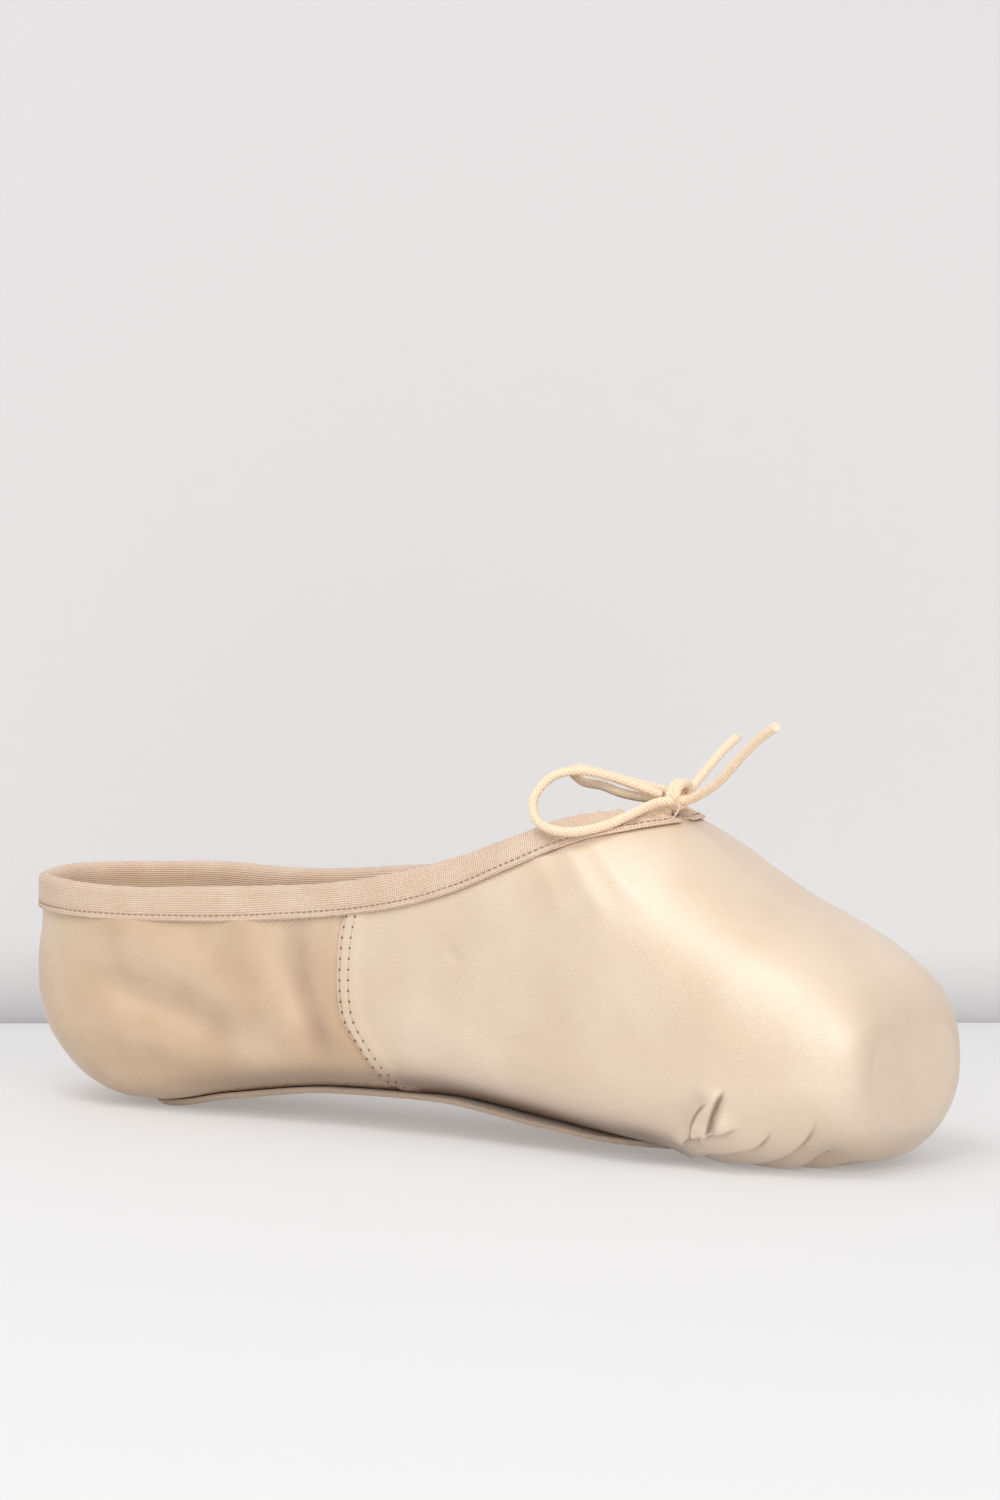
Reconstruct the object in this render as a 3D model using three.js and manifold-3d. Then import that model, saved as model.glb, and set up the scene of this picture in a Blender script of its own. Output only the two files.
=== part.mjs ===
// A satin pointe shoe for the right or left foot, built from its separate pieces, in millimetres.
// +X runs from the heel to the toe platform, +Y to the shoe's left and +Z up. The shoe stands on z = 0.
import * as THREE from "three";
import { mergeVertices } from "three/addons/utils/BufferGeometryUtils.js";
import Module from "manifold-3d";

const wasm = await Module();
wasm.setup();

// ---------------------------------------------------------------- Driving dimensions

const LENGTH = 235; // back seam to toe platform
const HEEL_CENTRE = 31; // the heel's cross-sections fan out from this distance along the shoe
const TOE_ROUND = 7; // rounding between the vamp and the flat toe platform
const THROAT = 168; // front of the foot opening
const GAP = 0.3; // clearance between pieces that touch

const SATIN = 0.8; // satin with its canvas backing
const LINING = 0.6;
const BOX_OUTER = 1.2; // hardened layers of the toe box
const BOX_INNER = 1.0;
const TAPE = 0.5;
const CORD = 2.2; // drawstring diameter
const CASED_CORD = 2; // the drawstring where its casing squeezes it
const BACK_SEAM_GAP = 0.12; // walk from the back seam at which each quarter stops
const TAPE_HALF_WALK = 4.5; // half width of the back seam's tape, as walk
const HEEL_EASE = 0.5; // extra clearance outside the quarter's lining, where the heel is tightly curved
const FIT = 1.5; // clearance round the boards that lie inside the lining

const BINDING_HEIGHT = 8.5; // outer leg of the binding
const BINDING_INSIDE = 5.9;
const CASING_DROP = 2.3; // drawstring centre below the top line
const CLOTH_DROP = 5; // top edges of satin and lining below the top line

const OUTSOLE = 1.6;
const OUTSOLE_BACK = 30;
const OUTSOLE_FRONT = 188;
const OUTSOLE_ENDS = [11, 26]; // radii of its round back and front

// Shape of the outer skin at stations along the shoe: [distance from the heel, value].
const HALF_WIDTH = [[31, 28], [60, 26.2], [90, 24.8], [120, 26.3], [150, 30], [175, 33.5], [200, 34],
  [220, 30.4], [235, 25]];
const UNDERSIDE = [[0, 0], [38, 0], [60, 3.6], [90, 7.3], [120, 8], [150, 5.1], [170, 2.8], [190, 1],
  [208, 0], [235, 2.6]];
const WIDEST_HEIGHT = [[0, 32.5], [34, 26], [90, 27], [150, 26.5], [190, 23.5], [235, 21]];
const CROWN = [[0, 111], [34, 96], [60, 90], [90, 86], [120, 83], [150, 80.5], [160, 78.8], [172, 75.2],
  [180, 71.6], [190, 65.3], [200, 59.4], [218, 51.4], [235, 40]];
const TOP_LINE = [[0, 53.8], [34, 53.6], [60, 54.5], [90, 57.2], [110, 60.3], [125, 64.3], [140, 70],
  [152, 74.3], [160, 76]];
const UPPER_SQUARENESS = [[0, 2.6], [150, 2.4], [235, 2.7]]; // superellipse exponents
const LOWER_SQUARENESS = [[0, 1.8], [34, 2.6], [90, 3], [150, 2.9], [190, 2.6], [235, 2]];
const OUTSOLE_HALF_WIDTH = [[30, 10.5], [60, 16.5], [100, 17.5], [130, 21], [150, 23], [188, 21]];
// Share of the half width over which the satin leaves the underside open, to be covered by the outsole.
const OPEN_UNDER = [[0, 0.02], [27, 0.02], [38, 0.24], [60, 0.44], [100, 0.5], [130, 0.6], [150, 0.52],
  [164, 0]];
// The same for the lining, which stops beside the shank.
const LINING_OPEN_UNDER = [[0, 0.4], [31, 0.56], [60, 0.6], [110, 0.62], [130, 0.6], [150, 0.52],
  [164, 0]];

// Side seam between quarter and vamp.
const SEAM_TOP = 98; // where it meets the top line, as distance from the heel
// How far it leans forward from its upper end: [share of the way up the cloth, distance].
const SEAM_LEAN = [[0, 12.5], [0.15, 9.7], [0.45, 4], [0.65, -0.3], [0.8, -2.1], [0.9, -1.7], [1, 0]];

// Back edge of the toe box: [share of the way up the section from under the toe to the crown, distance].
const BOX_BACK = [[0, 178], [0.08, 171], [0.24, 142], [0.46, 129], [0.6, 138], [0.7, 162], [0.82, 182],
  [1, 190]];
const BOX_RAMP = 7; // length over which the lining steps in behind the box

// Inner boards. A lift is the height of a board's lower face above the underside.
const SHANK_BOARD = 1.6;
const SHANK_LIFT = 3;
const SHANK_ENDS = [27, 147]; // distances from the heel
const SHANK_HALF_WIDTH = [[27, 11], [46, 12], [64, 13.5]];
const SHANK_END_RADIUS = 13;
const HALF_SHANK = 1.5;
const HALF_SHANK_LIFT = 6.4;
const HALF_SHANK_ENDS = [24, 116];
const HALF_SHANK_HALF_WIDTH = 12;
const INSOLE_BOARD = 1.2;
const INSOLE_LIFT = [[0, 4.9], [114, 4.9], [140, 8.4]]; // [distance from the heel, lift]
const INSOLE_FRONT = 208;
const SOCK_LIFT = [[0, 8.9], [118, 8.9], [140, 9.9]];
const SOCK_FRONT = 206;

const NAILS = [40, 66, 92]; // distances from the heel
const NAIL_RADIUS = 0.8;
const NAIL_HEAD = 0.4;
const NAIL_HEAD_RADIUS = 2.2;
const NAIL_HOLE_RADIUS = 1.2;

// The bow, tied at the throat. Loops and tails are points along each cord's centre.
const KNOT = [174, 0, 79.7];
const KNOT_RADIUS = 2.6;
const KNOT_LEG = [[171.1, 1.4, 75.4], [171.6, 1.35, 77], [173.2, 1.2, 78.8]]; // the left one
const RIGHT_LOOP = [[170.6, -2.6, 79.9], [165.3, -6, 82.2], [160.7, -10, 84.3], [155.8, -14.5, 85.6],
  [151.7, -18, 84.5], [149.6, -20.5, 81.9], [148.7, -22, 78.6], [150.4, -23, 74.9], [154.8, -23.5, 73],
  [160.5, -22.5, 72.8], [166.2, -18.5, 74.3], [169.8, -13, 76.7], [171.6, -6, 78.5]];
const LEFT_LOOP = [[170.2, 2.8, 80.2], [159.9, 5, 81.2], [150.1, 8.5, 82.2], [143.1, 11, 82.8],
  [137.9, 13, 83], [135, 15.2, 81.8], [136.6, 16.6, 79.8], [144.9, 12.6, 79.4], [152.6, 9, 78.4],
  [161.2, 6.5, 78], [169.4, 5, 78.6]];
const RIGHT_TAIL = [[177.2, -2, 79.2], [182, -3.5, 81.1], [187.5, -6, 83.9], [192.7, -8.5, 87.7],
  [198.4, -11, 92.2], [204, -13.5, 95.8], [208.6, -15.5, 98.2]];
const LEFT_TAIL = [[174.6, 3.2, 81.2], [174.6, 6, 82.6], [174.5, 10.5, 85.1], [175, 14.5, 87.8],
  [175.4, 18.5, 90.1], [175.6, 21.5, 91.4]];

const ROWS = 11; // rows of every layer's grid, up the section
const ROW_CROWDING = 0.4; // how strongly they gather at the section's corners

// ---------------------------------------------------------------- Numbers and curves

const clamp = (value, low, high) => Math.min(Math.max(value, low), high);
const mix = (a, b, share) => a + (b - a) * share;
const radians = (degrees) => (degrees * Math.PI) / 180;
const degrees = (angle) => (angle * 180) / Math.PI;

function smooth(from, to, value) {
  const share = clamp((value - from) / (to - from), 0, 1);
  return share * share * (3 - 2 * share);
}

// A smooth curve through [x, y] stations that never overshoots them, level beyond its ends.
function curveThrough(stations) {
  const secant = (i) => (stations[i + 1][1] - stations[i][1]) / (stations[i + 1][0] - stations[i][0]);
  const last = stations.length - 1;
  const slopes = stations.map((_, i) => {
    if (i === 0 || i === last) return secant(i ? last - 1 : 0);
    const before = secant(i - 1);
    const after = secant(i);
    return before * after <= 0 ? 0 : 2 / (1 / before + 1 / after);
  });
  return (x) => {
    const at = clamp(x, stations[0][0], stations[last][0]);
    let i = 0;
    while (i < last - 1 && at > stations[i + 1][0]) i += 1;
    const [x0, y0] = stations[i];
    const [x1, y1] = stations[i + 1];
    const h = x1 - x0;
    const t = (at - x0) / h;
    const rise = t * t * (3 - 2 * t);
    return y0 + (y1 - y0) * rise + h * (slopes[i] * t * (1 - t) ** 2 - slopes[i + 1] * t * t * (1 - t));
  };
}

const halfWidth = curveThrough(HALF_WIDTH);
const underside = curveThrough(UNDERSIDE);
const widestHeight = curveThrough(WIDEST_HEIGHT);
const crown = curveThrough(CROWN);
const topLineHeight = curveThrough([...TOP_LINE, [THROAT, crown(THROAT)]]);
const upperSquareness = curveThrough(UPPER_SQUARENESS);
const lowerSquareness = curveThrough(LOWER_SQUARENESS);
const outsoleWidth = curveThrough(OUTSOLE_HALF_WIDTH);
const boxBack = curveThrough(BOX_BACK);

// ---------------------------------------------------------------- The shoe's skin

// How far into a board's round ends an x lies: 0 between them, 1 at either tip.
function pastEnds(x, back, front, backRadius, frontRadius) {
  return Math.max((back + backRadius - x) / backRadius, (x - front + frontRadius) / frontRadius, 0);
}

// Shrinks a board's half width to nothing at its two round ends.
const roundEnds = (...ends) => Math.sqrt(Math.max(1 - pastEnds(...ends) ** 2, 0));

const outsoleHalfWidth = (x) => outsoleWidth(x) * roundEnds(x, OUTSOLE_BACK, OUTSOLE_FRONT, ...OUTSOLE_ENDS);

// How far a point lies outside the outsole's outline; negative inside it.
function beyondOutsole({ x, y }) {
  const width = outsoleWidth(x);
  return width * (Math.hypot(pastEnds(x, OUTSOLE_BACK, OUTSOLE_FRONT, ...OUTSOLE_ENDS), y / width) - 1);
}

// A point on the skin, or on a layer `depth` inside it.
// walk: distance along the shoe from the back seam to LENGTH at the platform's rim, then to LENGTH + 1 at its
// centre.
// turn: degrees around the section, from -90 under the sole to 90 on the crown line.
function skin(walk, turn, depth = 0, side = 1) {
  const rim = (clamp((walk - LENGTH + TOE_ROUND) / TOE_ROUND, 0, 1) * Math.PI) / 2;
  const radius = TOE_ROUND - depth;
  const cut = radius * (1 - Math.cos(rim));
  const x = rim > 0 ? LENGTH - TOE_ROUND + radius * Math.sin(rim) : walk;
  const width = halfWidth(Math.max(x, HEEL_CENTRE)) - depth - cut;
  const middle = widestHeight(x);
  const c = Math.cos(radians(turn));
  const s = Math.sin(radians(turn));
  const n = s < 0 ? lowerSquareness(x) : upperSquareness(x);
  const height = s < 0 ? middle - underside(x) - depth - cut : crown(x) - middle - depth - cut;
  const r = (Math.abs(c) ** n + Math.abs(s) ** n) ** (-1 / n);
  const point = new THREE.Vector3(x, width * r * c, middle + height * r * s);
  if (walk < HEEL_CENTRE) {
    const fan = ((1 - walk / HEEL_CENTRE) * Math.PI) / 2;
    point.x = HEEL_CENTRE - (HEEL_CENTRE - depth) * r * c * Math.sin(fan);
    point.y *= Math.cos(fan);
  }
  // The satin is pressed up where the outsole sits.
  const inside = 1 - smooth(4, 13, beyondOutsole(point));
  if (s < 0) point.z = Math.max(point.z, underside(point.x) + depth + (OUTSOLE + GAP) * inside);
  if (walk > LENGTH) {
    const shrink = 1 - (walk - LENGTH);
    point.y *= shrink;
    point.z = mix(middle, point.z, shrink);
  }
  point.y *= side;
  return point;
}

// The turn at which a layer's section reaches a height.
function turnAtHeight(walk, height, depth = 0) {
  const middle = widestHeight(walk);
  const up = height >= middle;
  const n = up ? upperSquareness(walk) : lowerSquareness(walk);
  const reach = up ? crown(walk) - middle - depth : middle - underside(walk) - depth;
  const k = Math.min(Math.abs(height - middle) / reach, 1);
  const across = (1 - k ** n) ** (1 / n);
  return degrees(Math.atan2(up ? k : -k, across));
}

// ---------------------------------------------------------------- The top line

const TOP_LINE_SAMPLES = 400;
const topLineTable = Array.from({ length: TOP_LINE_SAMPLES + 1 }, (_, i) => {
  const walk = THROAT * (1 - (1 - i / TOP_LINE_SAMPLES) ** 2);
  return { walk, turn: turnAtHeight(walk, topLineHeight(walk)), run: 0 };
});
topLineTable[TOP_LINE_SAMPLES].turn = 90;
for (let i = 1; i <= TOP_LINE_SAMPLES; i += 1) {
  const [a, b] = [topLineTable[i - 1], topLineTable[i]];
  b.run = a.run + skin(a.walk, a.turn).distanceTo(skin(b.walk, b.turn));
}
const HALF_TOP_LINE = topLineTable[TOP_LINE_SAMPLES].run;

// The place on the skin a share of the way along the top line, from the back seam to the throat's front.
function topLine(share) {
  const run = clamp(share, 0, 1) * HALF_TOP_LINE;
  let i = 0;
  while (i < TOP_LINE_SAMPLES - 1 && run > topLineTable[i + 1].run) i += 1;
  const [a, b] = [topLineTable[i], topLineTable[i + 1]];
  const t = (run - a.run) / (b.run - a.run);
  return [mix(a.walk, b.walk, t), mix(a.turn, b.turn, t)];
}

// The skin's two tangents, per unit of walk and of turn, and its outward normal.
function tangents(walk, turn) {
  const step = 0.05;
  const alongWalk = skin(walk + step, turn).sub(skin(walk - step, turn)).divideScalar(2 * step);
  const alongTurn = skin(walk, turn + step).sub(skin(walk, turn - step)).divideScalar(2 * step);
  const normal = alongTurn.clone().cross(alongWalk).normalize();
  return { alongWalk, alongTurn, normal };
}

// The place `drop` below the top line, measured over the skin at right angles to it.
function belowTopLine(share, drop) {
  const around = 0.004;
  const ahead = share + around;
  let [walk, turn] = topLine(share);
  const forward = skin(...topLine(Math.min(ahead, 1))).sub(skin(...topLine(Math.max(share - around, 0))));
  if (share < around) forward.set(0, 1, 0);
  if (ahead > 1) forward.set(0, -1, 0);
  const down = tangents(walk, turn).normal.cross(forward).normalize();
  if (share < around) down.set(0, 0, -1);
  const steps = 4;
  for (let i = 0; i < steps; i += 1) {
    // One step downhill, solved in the skin's own two directions.
    const { alongWalk, alongTurn, normal } = tangents(walk, turn);
    down.addScaledVector(normal, -down.dot(normal)).normalize();
    const ww = alongWalk.dot(alongWalk);
    const wt = alongWalk.dot(alongTurn);
    const tt = alongTurn.dot(alongTurn);
    const dw = down.dot(alongWalk);
    const dt = down.dot(alongTurn);
    const pace = drop / steps / (ww * tt - wt * wt);
    walk += pace * (dw * tt - dt * wt);
    turn += pace * (dt * ww - dw * wt);
  }
  return [share === 0 ? 0 : walk, share === 1 ? 90 : turn];
}

// Shares crowded together towards 1, where the opening turns round the throat.
const crowded = (share) => 1 - (1 - share) ** 1.3;

// The share of the top line at which its walk passes a value.
function shareAtWalk(walk) {
  const past = topLineTable.find((row) => row.walk >= walk);
  return past.run / HALF_TOP_LINE;
}

// ---------------------------------------------------------------- Building closed meshes

// A closed body between two matching grids of points, welded where points meet.
function bodyBetween(patches) {
  const index = new Map();
  const outer = [];
  const inner = [];
  const vertex = (o, i) => {
    const key = [o.x, o.y, o.z].map((v) => Math.round(v * 1e4)).join();
    if (!index.has(key)) {
      index.set(key, outer.length);
      outer.push(o);
      inner.push(i);
    }
    return index.get(key);
  };
  const triangles = [];
  const face = (a, b, c) => {
    if (a !== b && b !== c && c !== a) triangles.push([a, b, c]);
  };
  for (const { outside, inside, flip } of patches) {
    const ids = outside.map((row, i) => row.map((point, j) => vertex(point, inside[i][j])));
    for (let i = 0; i + 1 < ids.length; i += 1) {
      for (let j = 0; j + 1 < ids[i].length; j += 1) {
        const [a, b, c, d] = [ids[i][j], ids[i + 1][j], ids[i + 1][j + 1], ids[i][j + 1]];
        const corners = flip ? [a, d, c, b] : [a, b, c, d];
        face(corners[0], corners[1], corners[2]);
        face(corners[0], corners[2], corners[3]);
      }
    }
  }
  const under = outer.length;
  const edges = new Set(triangles.flatMap(([a, b, c]) => [`${a},${b}`, `${b},${c}`, `${c},${a}`]));
  const faces = triangles.flatMap(([a, b, c]) => [a, b, c, c + under, b + under, a + under]);
  for (const edge of edges) {
    const [a, b] = edge.split(",").map(Number);
    if (!edges.has(`${b},${a}`)) faces.push(b, a, a + under, b, a + under, b + under);
  }
  const geometry = new THREE.BufferGeometry();
  const positions = [...outer, ...inner].flatMap((p) => [p.x, p.y, p.z]);
  geometry.setAttribute("position", new THREE.Float32BufferAttribute(positions, 3));
  geometry.setIndex(faces);
  return geometry;
}

// Rows crowd together where the section turns its upper and lower corners.
const rowShare = (share) => share + (ROW_CROWDING * Math.sin(4 * Math.PI * share)) / (4 * Math.PI);

// A layer of the upper on a grid of columns, back to front, and rows, from its lower edge up.
// place(column, t) gives its [walk, turn] at t, the share of the way up, and depthAt(column) its outer depth.
function layer({ columns, place, depthAt, thickness, sides = [1, -1] }) {
  const grid = (side, inset) =>
    Array.from({ length: columns + 1 }, (_, column) =>
      Array.from({ length: ROWS + 1 }, (_unused, row) => {
        const [walk, turn] = place(column, rowShare(row / ROWS));
        return skin(walk, turn, depthAt(column) + inset, side);
      }),
    );
  const patch = (side) => ({ outside: grid(side, 0), inside: grid(side, thickness), flip: side > 0 });
  return bodyBetween(sides.map(patch));
}

// A board: flat across, its lower face `lift` above the underside. outline(share) gives its half width.
// bevel draws the lower face's edge in.
function board({ outline, lift, thickness, bevel = 0, columns = 20 }) {
  const across = 2;
  const back = outline(0).x;
  const front = outline(1).x;
  const face = (height, inset) =>
    Array.from({ length: columns + 1 }, (_, i) => {
      const { x, half } = outline(i / columns);
      const drawnIn = clamp(x, back + inset, front - inset);
      return Array.from({ length: across + 1 }, (_unused, j) => {
        const y = Math.max(half - inset, 0) * ((2 * j) / across - 1);
        return new THREE.Vector3(drawnIn, y, underside(x) + lift(x) + height);
      });
    });
  return bodyBetween([{ outside: face(thickness, 0), inside: face(0, bevel), flip: false }]);
}

// The outline of a board of its own shape, with round ends. Points gather towards the ends.
function ownOutline(back, front, halfWidthAt, endRadius) {
  return (share) => {
    const x = mix(back, front, (1 - Math.cos(Math.PI * share)) / 2);
    return { x, half: halfWidthAt(x) * roundEnds(x, back, front, endRadius, endRadius) };
  };
}

// The outline of a board that fills the inside of the lining at its own height, with a round front end.
function fittedOutline(front, lift) {
  return (share) => {
    const walk = front * share;
    const height = underside(walk) + lift(walk);
    const depth = mix(UNDER_SATIN, BOX_LINING, smooth(122, 146, walk)) + LINING + GAP;
    const { x, y } = skin(walk, turnAtHeight(walk, height, depth), depth);
    return { x: x + FIT * (1 - share), half: Math.max(y - FIT, 0) * roundEnds(x, -front, front, 1, 20) };
  };
}

const toSolid = (geometry) => {
  const bare = geometry.clone();
  bare.deleteAttribute("normal");
  bare.deleteAttribute("uv");
  const merged = mergeVertices(bare, 1e-4);
  const vertProperties = new Float32Array(merged.attributes.position.array);
  const triVerts = new Uint32Array(merged.index.array);
  return new wasm.Manifold(new wasm.Mesh({ numProp: 3, vertProperties, triVerts }));
};

function fromSolid(solid) {
  const mesh = solid.getMesh();
  const geometry = new THREE.BufferGeometry();
  geometry.setAttribute("position", new THREE.BufferAttribute(new Float32Array(mesh.vertProperties), 3));
  geometry.setIndex(new THREE.BufferAttribute(new Uint32Array(mesh.triVerts), 1));
  return geometry;
}

// Round rod along a smooth curve through points.
function rod(points, diameter, steps) {
  const sides = 8;
  const section = new THREE.Shape(
    Array.from({ length: sides }, (_, i) => {
      const angle = (2 * Math.PI * i) / sides;
      return new THREE.Vector2((diameter / 2) * Math.cos(angle), (diameter / 2) * Math.sin(angle));
    }),
  );
  const extrudePath = new THREE.CatmullRomCurve3(points, false, "centripetal");
  return new THREE.ExtrudeGeometry(section, { steps, extrudePath, bevelEnabled: false });
}

// ---------------------------------------------------------------- Materials

const cloth = (color, roughness = 0.9) => new THREE.MeshStandardMaterial({ color, roughness, metalness: 0 });
const SATIN_PEACH = cloth(0xe8d2b6, 0.45);
const CANVAS_PINK = cloth(0xf3d6ba);
const COTTON_PEACH = cloth(0xf8d9b2);
const DRILL_CREAM = cloth(0xe6d5bd);
const PASTED_BURLAP = cloth(0xb79a70);
const FIBREBOARD = cloth(0x9a7b58, 0.8);
const LEATHER_TAN = cloth(0xa5876a, 0.75);
const STEEL = new THREE.MeshStandardMaterial({ color: 0xc0c0c0, roughness: 0.35, metalness: 1 });

const shoe = new THREE.Group();

function add(name, geometry, material) {
  const mesh = new THREE.Mesh(geometry, material);
  mesh.name = name;
  shoe.add(mesh);
}

// ---------------------------------------------------------------- Satin, box and lining

const UNDER_SATIN = SATIN + GAP; // depth of whatever lies against the satin
const INNER_BOX = UNDER_SATIN + BOX_OUTER + GAP;
const BOX_LINING = INNER_BOX + BOX_INNER + GAP;

// Turn of a layer's lower edge, which is turned in under the outsole and closes under the toe.
function lowTurnOf(stations) {
  const openShare = curveThrough(stations);
  return (walk) => {
    const share = openShare(walk);
    const n = lowerSquareness(walk);
    return -degrees(Math.atan2((1 - share ** n) ** (1 / n), share));
  };
}
const satinLowTurn = lowTurnOf(OPEN_UNDER);
const liningLowTurn = lowTurnOf(LINING_OPEN_UNDER);

const SEAM_SHARE = shareAtWalk(SEAM_TOP);
const [SEAM_EDGE, SEAM_TURN] = belowTopLine(SEAM_SHARE, CLOTH_DROP);
const [THROAT_EDGE] = belowTopLine(1, CLOTH_DROP);
const seamLean = curveThrough(SEAM_LEAN);
const seamWalk = (t) => SEAM_EDGE + seamLean(t);
const throatWalk = (t) => boxBack(t) - boxBack(1) + THROAT_EDGE;

// The vamp's columns, back to front: from the side seam to one that leaves the throat's front, then on to the
// box's back edge, the toe's rounding, the platform's rim and the platform's centre.
const REAR_COLUMNS = 12;
const FRONT_SPANS = [
  { count: 1, end: (t) => boxBack(t) - BOX_RAMP - 1 },
  { count: 2, end: (t) => boxBack(t) - 1 },
  { count: 6, end: () => LENGTH - TOE_ROUND },
  { count: 4, end: () => LENGTH },
  { count: 1, end: () => LENGTH + 1 },
];
const RAMP_START = REAR_COLUMNS + FRONT_SPANS[0].count;
const BOX_START = RAMP_START + FRONT_SPANS[1].count;
const TOE_START = BOX_START + FRONT_SPANS[2].count;
const VAMP_COLUMNS = FRONT_SPANS.reduce((sum, span) => sum + span.count, REAR_COLUMNS);

function frontWalk(column, t) {
  let start = throatWalk;
  let left = column - REAR_COLUMNS;
  for (const { count, end } of FRONT_SPANS) {
    if (left <= count) return mix(start(t), end(t), left / count);
    left -= count;
    start = end;
  }
  return LENGTH + 1;
}

function vampPlace(lowTurn) {
  return (column, t) => {
    if (column > REAR_COLUMNS) return [frontWalk(column, t), mix(lowTurn(frontWalk(column, 0)), 90, t)];
    const share = crowded(column / REAR_COLUMNS);
    const [edgeWalk, edgeTurn] = belowTopLine(mix(SEAM_SHARE, 1, share), CLOTH_DROP);
    const edgeShare = (edgeWalk - SEAM_EDGE) / (THROAT_EDGE - SEAM_EDGE);
    const walkAt = (up) => mix(seamWalk(up), throatWalk(up), mix(share, edgeShare, up));
    return [walkAt(t), mix(lowTurn(walkAt(0)), edgeTurn, t)];
  };
}

// Quarter: from the back seam forward to the side seam.
const QUARTER_COLUMNS = 12;
function quarterPlace(lowTurn) {
  return (column, t) => {
    const share = column / QUARTER_COLUMNS;
    const [edgeWalk, edgeTurn] = belowTopLine(SEAM_SHARE * share, CLOTH_DROP);
    const lean = seamLean(t) * share ** 3;
    const walk = edgeWalk + lean - GAP * share;
    const lowWalk = edgeWalk + seamLean(0) * share ** 3;
    return [Math.max(walk, BACK_SEAM_GAP), mix(lowTurn(lowWalk), edgeTurn, t)];
  };
}

// The lining lies against the satin, and steps in where the box lies between them.
const rampShare = (column) => clamp((column - RAMP_START) / (BOX_START - RAMP_START), 0, 1);
const vampLiningDepth = (column) => mix(UNDER_SATIN, BOX_LINING, rampShare(column));

const vampSatin = {
  columns: VAMP_COLUMNS,
  place: vampPlace(satinLowTurn),
  depthAt: () => 0,
  thickness: SATIN,
};
const vampLining = {
  columns: VAMP_COLUMNS,
  place: vampPlace(liningLowTurn),
  depthAt: vampLiningDepth,
  thickness: LINING,
};
add("vamp_satin", layer(vampSatin), SATIN_PEACH);
add("vamp_lining", layer(vampLining), DRILL_CREAM);

const quarterSatin = {
  columns: QUARTER_COLUMNS,
  place: quarterPlace(satinLowTurn),
  depthAt: () => 0,
  thickness: SATIN,
};
const quarterLining = {
  columns: QUARTER_COLUMNS,
  place: quarterPlace(liningLowTurn),
  depthAt: () => UNDER_SATIN + HEEL_EASE,
  thickness: LINING,
};
for (const [name, side] of [["left", 1], ["right", -1]]) {
  add(`quarter_satin_${name}`, layer({ ...quarterSatin, sides: [side] }), SATIN_PEACH);
  add(`quarter_lining_${name}`, layer({ ...quarterLining, sides: [side] }), DRILL_CREAM);
}

// The tape that covers the back seam inside.
const TAPE_TOP = belowTopLine(0, BINDING_INSIDE + 0.5)[1];
const heelTape = {
  columns: 2,
  place: (column, t) => [(TAPE_HALF_WALK * column) / 2, mix(-20, TAPE_TOP, t)],
  depthAt: () => UNDER_SATIN + HEEL_EASE + LINING + 2 * GAP,
  thickness: TAPE,
};
add("heel_seam_tape", layer(heelTape), DRILL_CREAM);

// Two pasted layers make the box. The outer one ends at the platform's rim, and the platform disc closes it.
function boxPlace(column, t) {
  const walk = column === 0 ? boxBack(t) : frontWalk(BOX_START + column, t);
  const turn = mix(satinLowTurn(frontWalk(BOX_START + column, 0)), 90, t);
  return [walk, turn];
}
const BOX_COLUMNS = VAMP_COLUMNS - BOX_START;
const rimColumn = BOX_COLUMNS - 1;
const outerBox = {
  columns: rimColumn,
  place: (column, t) => [Math.min(boxPlace(column, t)[0], LENGTH - 0.5), boxPlace(column, t)[1]],
  depthAt: () => UNDER_SATIN,
  thickness: BOX_OUTER,
};
const innerBox = { columns: BOX_COLUMNS, place: boxPlace, depthAt: () => INNER_BOX, thickness: BOX_INNER };
const platformDisc = {
  columns: 2,
  place: (column, t) => [LENGTH + mix(0.02, 1, column / 2), mix(-90, 90, t)],
  depthAt: () => UNDER_SATIN,
  thickness: BOX_OUTER,
};
add("box_outer_layer", layer(outerBox), PASTED_BURLAP);
add("box_inner_layer", layer(innerBox), PASTED_BURLAP);
add("platform_disc", layer(platformDisc), PASTED_BURLAP);

// ---------------------------------------------------------------- Sole

const nailHoles = NAILS.map((x) => {
  const hole = new THREE.CylinderGeometry(NAIL_HOLE_RADIUS, NAIL_HOLE_RADIUS, 40, 10);
  return toSolid(hole.rotateX(Math.PI / 2).translate(x, 0, 10));
});
const drilled = (board) => fromSolid(nailHoles.reduce((solid, hole) => solid.subtract(hole), toSolid(board)));

const outsoleOutline = ownOutline(OUTSOLE_BACK, OUTSOLE_FRONT, outsoleWidth, OUTSOLE_ENDS[0]);
const outsoleEdge = (share) => {
  const { x } = outsoleOutline(share);
  return { x, half: outsoleHalfWidth(x) };
};
const outsole = board({ outline: outsoleEdge, lift: () => 0, thickness: OUTSOLE, bevel: 1.2, columns: 28 });
add("outsole", outsole, LEATHER_TAN);

const shankOutline = ownOutline(...SHANK_ENDS, curveThrough(SHANK_HALF_WIDTH), SHANK_END_RADIUS);
const shank = board({ outline: shankOutline, lift: () => SHANK_LIFT, thickness: SHANK_BOARD });
add("shank_board", drilled(shank), FIBREBOARD);

const insoleLift = curveThrough(INSOLE_LIFT);
const insoleOutline = fittedOutline(INSOLE_FRONT, insoleLift);
const insole = board({ outline: insoleOutline, lift: insoleLift, thickness: INSOLE_BOARD, columns: 28 });
add("insole_board", drilled(insole), FIBREBOARD);

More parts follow.
